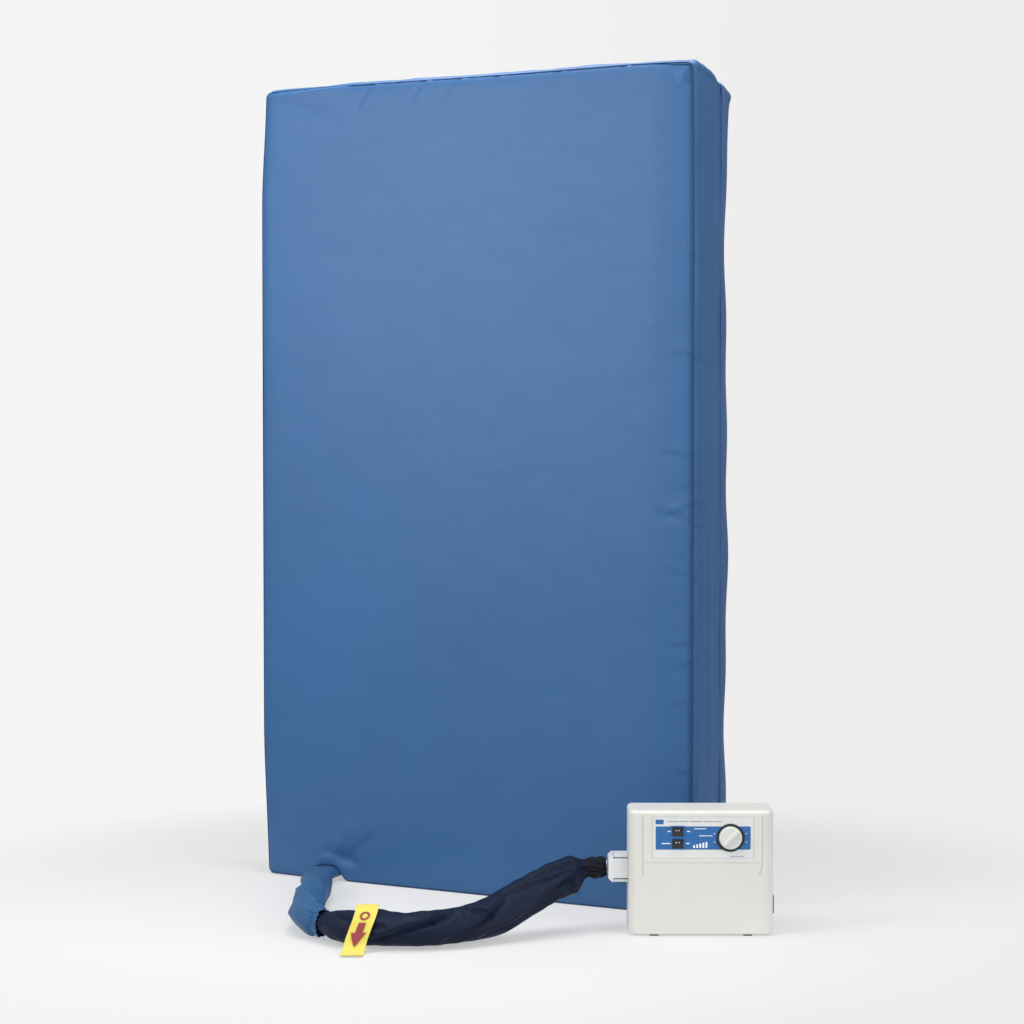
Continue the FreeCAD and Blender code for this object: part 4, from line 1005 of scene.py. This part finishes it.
for s_from, arc_from, s_to, arc_to, width, depth in navy_creases:
    lean = math.atan2(arc_to - arc_from, s_to - s_from)
    off_s, off_arc = -1.9 * width * math.sin(lean), 1.9 * width * math.cos(lean)
    navy_swell = navy_swell - 1.35 * depth * crease(run, arc, (s_from, arc_from), (s_to, arc_to), width,
                                                    sharp=1.3)
    navy_swell = navy_swell + 0.70 * depth * crease(run, arc, (s_from + off_s, arc_from + off_arc),
                                                    (s_to + off_s, arc_to + off_arc), width * 1.2, sharp=1.6)
hump = np.exp(-((navy_s - STRAP_S - 0.030) / 0.036) ** 2) * np.exp(-((arc - 0.088) / 0.024) ** 2)
navy_swell = navy_swell + 0.0095 * hump
sag = 0.009 * smooth(navy_along, 1.16, 1.34) * smooth(-navy_along, -SLEEVE_END, 0.04 - SLEEVE_END)
navy = sleeve("navy_sleeve_cloth", hose_line, navy_along, navy_half * 1.03, navy_half, navy_swell, navy_cloth,
              angles, 0.0022, sag)
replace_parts(navy, "navy_sleeve")
print("navy sleeve", len(navy.data.vertices), "points, strap at %.3f m" % STRAP_S)

# %% Elastic cuff at the connector
cuff_along = np.arange(SLEEVE_END - 0.004, hose_line.length - 0.0015, 0.0016)
cuff_s = cuff_along[:, None]
share = (cuff_along - cuff_along[0]) / (cuff_along[-1] - cuff_along[0])
bands = 0.5 - 0.5 * np.cos(2 * np.pi * share * 3)
cuff_half = 0.0195 + 0.0050 * smooth(share, 0.15, 0.45) * (1 - smooth(share, 0.70, 0.95)) + 0.0008 * bands
cuff_swell = 0.0026 * fold(11 * angles[None, :] + 150 * cuff_s + 2 * np.sin(3 * angles[None, :]), 0.8)
cuff_swell = cuff_swell * (0.4 + 0.6 * smooth(share, 0.0, 0.4))[:, None]
cuff_swell = cuff_swell + 0.0022 * waves(81, cuff_s,
                                         0.03 * np.sin(angles[None, :]) + 0.02 * np.cos(2 * angles[None, :]),
                                         18, 45)
cuff = sleeve("elastic_cuff", hose_line, cuff_along, cuff_half, cuff_half, cuff_swell, elastic_cloth,
              angles)
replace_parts(cuff, "sleeve_cuff")
print("cuff", len(cuff.data.vertices), "points")

# %% [markdown]
# ## Quick-release strap
# A yellow strap lies over the navy sleeve, so that staff can find the connection in a hurry. It
# drapes over the sleeve, hangs in front of it and ends on the floor. Its arrow and ring are
# printed, so they are thin patches that follow the strap's own surface.

# %% Strap surface
STRAP_AT = np.array([0.116, -0.757])
STRAP_TURN = PUMP_TURN
strap_line = np.array([(0.036, 0.0872), (0.024, 0.0882), (0.008, 0.0886), (-0.010, 0.0878), (-0.026, 0.0840),
                       (-0.039, 0.0760), (-0.049, 0.0650), (-0.0555, 0.0520), (-0.0610, 0.0400),
                       (-0.0670, 0.0290),
                       (-0.0745, 0.0180), (-0.0850, 0.0085), (-0.0980, 0.0036), (-0.1120, 0.0028),
                       (-0.1260, 0.0068)])
strap_run = np.concatenate([[0], np.cumsum(np.hypot(*np.diff(strap_line, axis=0).T))])
STRAP_LENGTH = strap_run[-1]


def strap_point(across, along, lift=0.0):
    """A point on the strap: across it, along it from its far end, lifted off its face."""
    across, along = np.broadcast_arrays(np.asarray(across, float), np.asarray(along, float))
    y, z = (np.interp(along, strap_run, strap_line[:, i]) for i in range(2))
    near = np.clip(along + 0.003, 0, STRAP_LENGTH)
    y_near, z_near = (np.interp(near, strap_run, strap_line[:, i]) for i in range(2))
    y_far, z_far = (np.interp(near - 0.006, strap_run, strap_line[:, i]) for i in range(2))
    way_y, way_z = y_near - y_far, z_near - z_far
    size = np.hypot(way_y, way_z) + 1e-9
    curl = 0.0022 * (across / 0.025) ** 2 * smooth(along, 0.05, STRAP_LENGTH) - 0.0020 * smooth(along, 0.0,
                                                                                                0.03)
    lift = lift + 0.0030 * smooth(along, 0.0, 0.03) * (1 - smooth(along, 0.125, 0.150))
    lift = lift + 0.0009 * np.sin(along * 55 + across * 60) - curl * 0.6
    y, z = y + way_z / size * lift, z - way_y / size * lift
    across = across - 0.030 * smooth(along, 0.07, STRAP_LENGTH) + 0.004 * np.sin(along * 38)
    x = across * math.cos(STRAP_TURN) - y * math.sin(STRAP_TURN) + STRAP_AT[0]
    y = across * math.sin(STRAP_TURN) + y * math.cos(STRAP_TURN) + STRAP_AT[1]
    return np.stack([x, y, np.maximum(z, 0.0016)], axis=-1)


strap_u, strap_v = np.meshgrid(np.linspace(-0.025, 0.025, 15), np.linspace(0, STRAP_LENGTH, 72))
strap = piece("release_strap", strap_point(strap_u, strap_v), grid_faces(72, 15), strap_cloth, "cpr_strap")
refine(thicken(strap, 0.0014, 1.0), 1)
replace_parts(strap, "cpr_strap")
print("strap length", round(float(STRAP_LENGTH), 3))

# %% Arrow and ring printed on the strap
ARROW = [(0.0965, 0.0078), (0.1190, 0.0078), (0.1192, 0.0172), (0.1240, 0.0148), (0.1330, 0.0104),
         (0.1430, 0.0056), (0.1540, 0.0004)]
arrow_rows = [(v, w) for (v0, w0), (v1, w1) in zip(ARROW, ARROW[1:])
              for v, w in [(v0 + (v1 - v0) * t / 3, w0 + (w1 - w0) * t / 3) for t in range(3)]] + [ARROW[-1]]
arrow_v = np.array([v for v, _ in arrow_rows])[:, None] + np.zeros(5)
arrow_u = np.array([w for _, w in arrow_rows])[:, None] * np.linspace(-1, 1, 5)
arrow = piece("strap_arrow", strap_point(arrow_u, arrow_v, 0.0021), grid_faces(len(arrow_rows), 5),
              strap_print, "cpr_strap")
turn_round = np.linspace(0, 2 * np.pi, 49)[:-1]
ring_sizes = np.array([0.0066, 0.0086, 0.0106])[:, None]
mark = piece("strap_ring",
             strap_point(ring_sizes * np.cos(turn_round), 0.0805 + ring_sizes * np.sin(turn_round), 0.0021),
             grid_faces(3, 48, True), strap_print, "cpr_strap")
print("strap marks", arrow.name, mark.name)

# %% [markdown]
# ## The pump's printed panel
# The white label carries a blue band, with pale marks round the controls. Print has almost no
# thickness, so each mark is a thin rounded patch that stands a fraction of a millimetre off
# what is under it.


# %% Patches on the pump
def in_pump(points):
    """From the pump's own axes, in millimetres, to the frame."""
    points = np.asarray(points, float) / 1000.0
    x, y, z = points[..., 0], points[..., 1], points[..., 2]
    c, s = math.cos(PUMP_TURN), math.sin(PUMP_TURN)
    return np.stack([x * c - y * s + PUMP_AT[0], x * s + y * c + PUMP_AT[1], z], axis=-1)


def patch(name, x, z, corner, y, finish, rise=0.25, turn=0.0):
    """A rounded patch on the pump's front, with a small raised rim."""
    mid_x, mid_z, half_x, half_z = sum(x) / 2, sum(z) / 2, (x[1] - x[0]) / 2, (z[1] - z[0]) / 2
    ring_points = []
    for quarter, (sx, sz) in enumerate(((1, 1), (-1, 1), (-1, -1), (1, -1))):
        for step in np.linspace(0, np.pi / 2, CORNER_STEPS):
            a = step + quarter * np.pi / 2
            ring_points.append((sx * (half_x - corner) + corner * np.cos(a),
                                sz * (half_z - corner) + corner * np.sin(a)))
    ring_points = np.array(ring_points)
    c, s = math.cos(turn), math.sin(turn)
    rings = []
    for inset, height in ((0.0, 0.0), (0.04, rise * 0.8), (0.15, rise), (0.6, rise)):
        shrink = ring_points * (1 - inset / np.maximum(np.array([half_x, half_z]), 0.7))
        turned = np.stack([shrink[:, 0] * c - shrink[:, 1] * s, shrink[:, 0] * s + shrink[:, 1] * c], axis=1)
        rings.append(np.stack([mid_x + turned[:, 0], np.full(OUTLINE, y - height), mid_z + turned[:, 1]],
                              axis=-1))
    last = (len(rings) - 1) * OUTLINE
    faces = grid_faces(len(rings), OUTLINE, True) + [[last + i for i in range(OUTLINE)]]
    return piece(name, in_pump(np.concatenate(rings)), faces, finish, "pump")


MARK_Y, MARK_RISE = -0.28, 0.15
ROCKER_LIFT = 0.00015
patch("label_band", (-103.9, 111.2), (197.7, 250.6), 2.5, 0.0, label_blue)
marks = [((-76.6, -69.7), (238.0, 240.2), label_mark), ((-33.0, -26.0), (238.0, 240.2), label_mark),
         ((-90.4, -68.6), (210.5, 212.7), label_mark), ((-35.3, -27.0), (210.5, 212.7), label_mark),
         ((-16.9, 10.7), (244.4, 246.0), label_mark), ((-5.4, 24.5), (228.4, 230.0), label_mark),
         ((64.0, 96.0), (181.5, 183.0), label_grey), ((-104.0, -86.0), (255.5, 266.0), label_blue)]
marks += [((x, x + width), (261.0, 262.8), label_grey) for x,
          width in ((-78, 26), (-49, 18), (-28, 30), (5, 22), (30, 16))]
marks += [((x, x + 4.2), (201.5, 201.5 + tall), label_mark) for x,
          tall in ((-19, 6), (-12, 8), (-5, 10), (2, 12), (9, 14))]
marks += [(x, z, label_rim) for x, z in (((-111.5, 118.0), (272.2, 272.7)), ((-111.5, 118.0), (177.5, 178.0)),
                                          ((-111.7, -111.2), (178.0, 272.2)),
                                         ((117.7, 118.2), (178.0, 272.2)))]
mark_pieces = []
for number, (x, z, finish) in enumerate(marks):
    corner = min(0.7, (x[1] - x[0]) / 2.2, (z[1] - z[0]) / 2.2)
    mark_pieces.append(patch("label_mark_%d" % number, x, z, corner, MARK_Y, finish, MARK_RISE))


def laid_on(points, node, rise):
    """Move points along the pump's depth until they stand just off a CAD node's face."""
    back = nodes[node].matrix_world.inverted()
    way = Vector((-math.sin(PUMP_TURN), math.cos(PUMP_TURN), 0))
    placed = []
    for point in points:
        start = Vector(point) - way * 0.03
        hit, place = nodes[node].ray_cast(back @ start, (back.to_3x3() @ way).normalized())[:2]
        placed.append(tuple(nodes[node].matrix_world @ place - way * rise) if hit else tuple(point))
    return placed


for node, z in (("power_rocker", 239.0), ("mode_rocker", 211.6)):
    marks_at = [((-59.5, -55.5), (z + 1.6, z + 3.2)), ((-51.8, -50.4), (z + 0.6, z + 4.2))]
    for number, (x, tall) in enumerate(marks_at):
        print(node, "mark", number)
        rocker_mark = patch("%s_mark_%d" % (node, number), x, tall, 0.5, -4.0, label_mark, MARK_RISE)
        placed = laid_on([tuple(vertex.co) for vertex in rocker_mark.data.vertices], node, ROCKER_LIFT)
        for vertex, point in zip(rocker_mark.data.vertices, placed):
            vertex.co = point
        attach(rocker_mark, node)

# %% Ticks round the knob
KNOB_AT, TICK_RADIUS = (65.5, 224.6), 37.5
ticks = []
for number, angle in enumerate(np.radians(np.arange(-45, 226, 30))):
    at_x, at_z = KNOB_AT[0] + TICK_RADIUS * math.cos(angle), KNOB_AT[1] + TICK_RADIUS * math.sin(angle)
    if 199 < at_z < 249.5:
        ticks.append(patch("knob_tick_%d" % number, (at_x - 2.0, at_x + 2.0), (at_z - 0.7, at_z + 0.7), 0.6,
                           MARK_Y,
                           label_mark, MARK_RISE, angle))
print("label marks", len(mark_pieces), "ticks", len(ticks))

# %% [markdown]
# ## The hose
# The hose is 30 mm thick and a little under 1.6 m long, and lies in wide bends, with its
# sleeves, cuff and strap on it and the pump's connector at its end. Here it takes the place
# of the CAD hose, gets its vinyl finish and rides with the mattress.

# %% Hose
hose.data.materials.append(hose_vinyl)
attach(hose, "mattress")
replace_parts(hose, "air_hose")
print("hose declared, line is %.3f m" % hose_line.length)

# %% [markdown]
# ## Studio
# The mattress stands on a pale floor in front of a paler background, in soft light that comes
# mostly from the upper left. The floor is a disc that fades out at its rim, so no edge shows.

# %% Floor and backdrop
floor_finish = Finish("studio_floor")
floor_x, floor_y = floor_finish.axes(floor_finish.place())[:2]
far = ((floor_x * floor_x + floor_y * floor_y) ** 0.5).ramp(0.95, 1.75)
floor_finish.shade(base_color=(0.35, 0.352, 0.354), roughness=0.9, specular_ior_level=0.1, alpha=1 - far,
                   emission_color=(1.0, 1.0, 1.0), emission_strength=0.435)
angle_floor = np.linspace(0, 2 * np.pi, 97)[:-1]
floor_rings = np.concatenate([[0.4], np.linspace(1.0, 4.0, 7)])[:, None]
floor_points = np.stack([floor_rings * np.cos(angle_floor), floor_rings * np.sin(angle_floor),
                         0 * floor_rings * angle_floor], axis=-1)
floor_mesh = bpy.data.meshes.new("studio_floor")
floor_mesh.from_pydata(floor_points.reshape(-1, 3).tolist(), [], grid_faces(8, 96, True) + [list(range(96))])
floor_mesh.materials.append(floor_finish.material)
floor = bpy.data.objects.new("studio_floor", floor_mesh)
bpy.context.scene.collection.objects.link(floor)

# %% Backdrop dome, seen only by the camera
dome_finish = Finish("backdrop")
dome_x = dome_finish.axes(dome_finish.place(turn=PUMP_TURN))[0]
pale = dome_finish.blend(dome_x.ramp(-1.5, 3.0), paint(245, 245, 245), paint(236, 236, 236))
glow = dome_finish.node("ShaderNodeEmission", None, {"Color": pale})
dome_finish.tree.links.new(glow.socket, dome_finish.tree.nodes["Material Output"].inputs["Surface"])
lat, lon = np.meshgrid(np.linspace(-0.5 * np.pi, 0.5 * np.pi, 25), np.linspace(0, 2 * np.pi, 49)[:-1],
                       indexing="ij")
dome_points = 14 * np.stack([np.cos(lat) * np.cos(lon), np.cos(lat) * np.sin(lon), np.sin(lat)], axis=-1)
dome_mesh = bpy.data.meshes.new("backdrop")
dome_mesh.from_pydata(dome_points.reshape(-1, 3).tolist(), [], grid_faces(25, 48, True))
dome_mesh.materials.append(dome_finish.material)
dome = bpy.data.objects.new("backdrop", dome_mesh)
dome.visible_diffuse = dome.visible_glossy = dome.visible_shadow = dome.visible_transmission = False
bpy.context.scene.collection.objects.link(dome)


# %% Lights
def soft_light(name, place, aim_at, size, power, spread=180, colour=(1, 1, 1)):
    data = bpy.data.lights.new(name, "AREA")
    data.shape, data.size, data.size_y, data.energy, data.color = "RECTANGLE", size[0], size[1], power, colour
    data.spread = math.radians(spread)
    light = bpy.data.objects.new(name, data)
    light.location = place
    light.rotation_euler = (Vector(aim_at) - Vector(place)).to_track_quat("-Z", "Y").to_euler()
    bpy.context.scene.collection.objects.link(light)
    return light


soft_light("key", (-1.3, -2.9, 2.1), (-0.15, 0.0, 1.42), (1.7, 1.7), 37, 120)
soft_light("fill", (4.2, -1.5, 2.2), (0.5, -0.1, 0.8), (2.4, 2.4), 92)
soft_light("top", (0.3, -1.2, 4.6), (0.1, -0.2, 0.0), (3.0, 3.0), 100)
soft_light("rim", (0.0, 0.16, 2.9), (0.0, -0.02, 2.0), (1.5, 0.4), 9, 110)
world = bpy.data.worlds.new("studio")
world.use_nodes = True
world.node_tree.nodes["Background"].inputs["Color"].default_value = (1, 1, 1, 1)
world.node_tree.nodes["Background"].inputs["Strength"].default_value = 0.37
bpy.context.scene.world = world
bpy.context.scene.view_settings.view_transform = "Standard"
print("lights", len(bpy.data.lights))
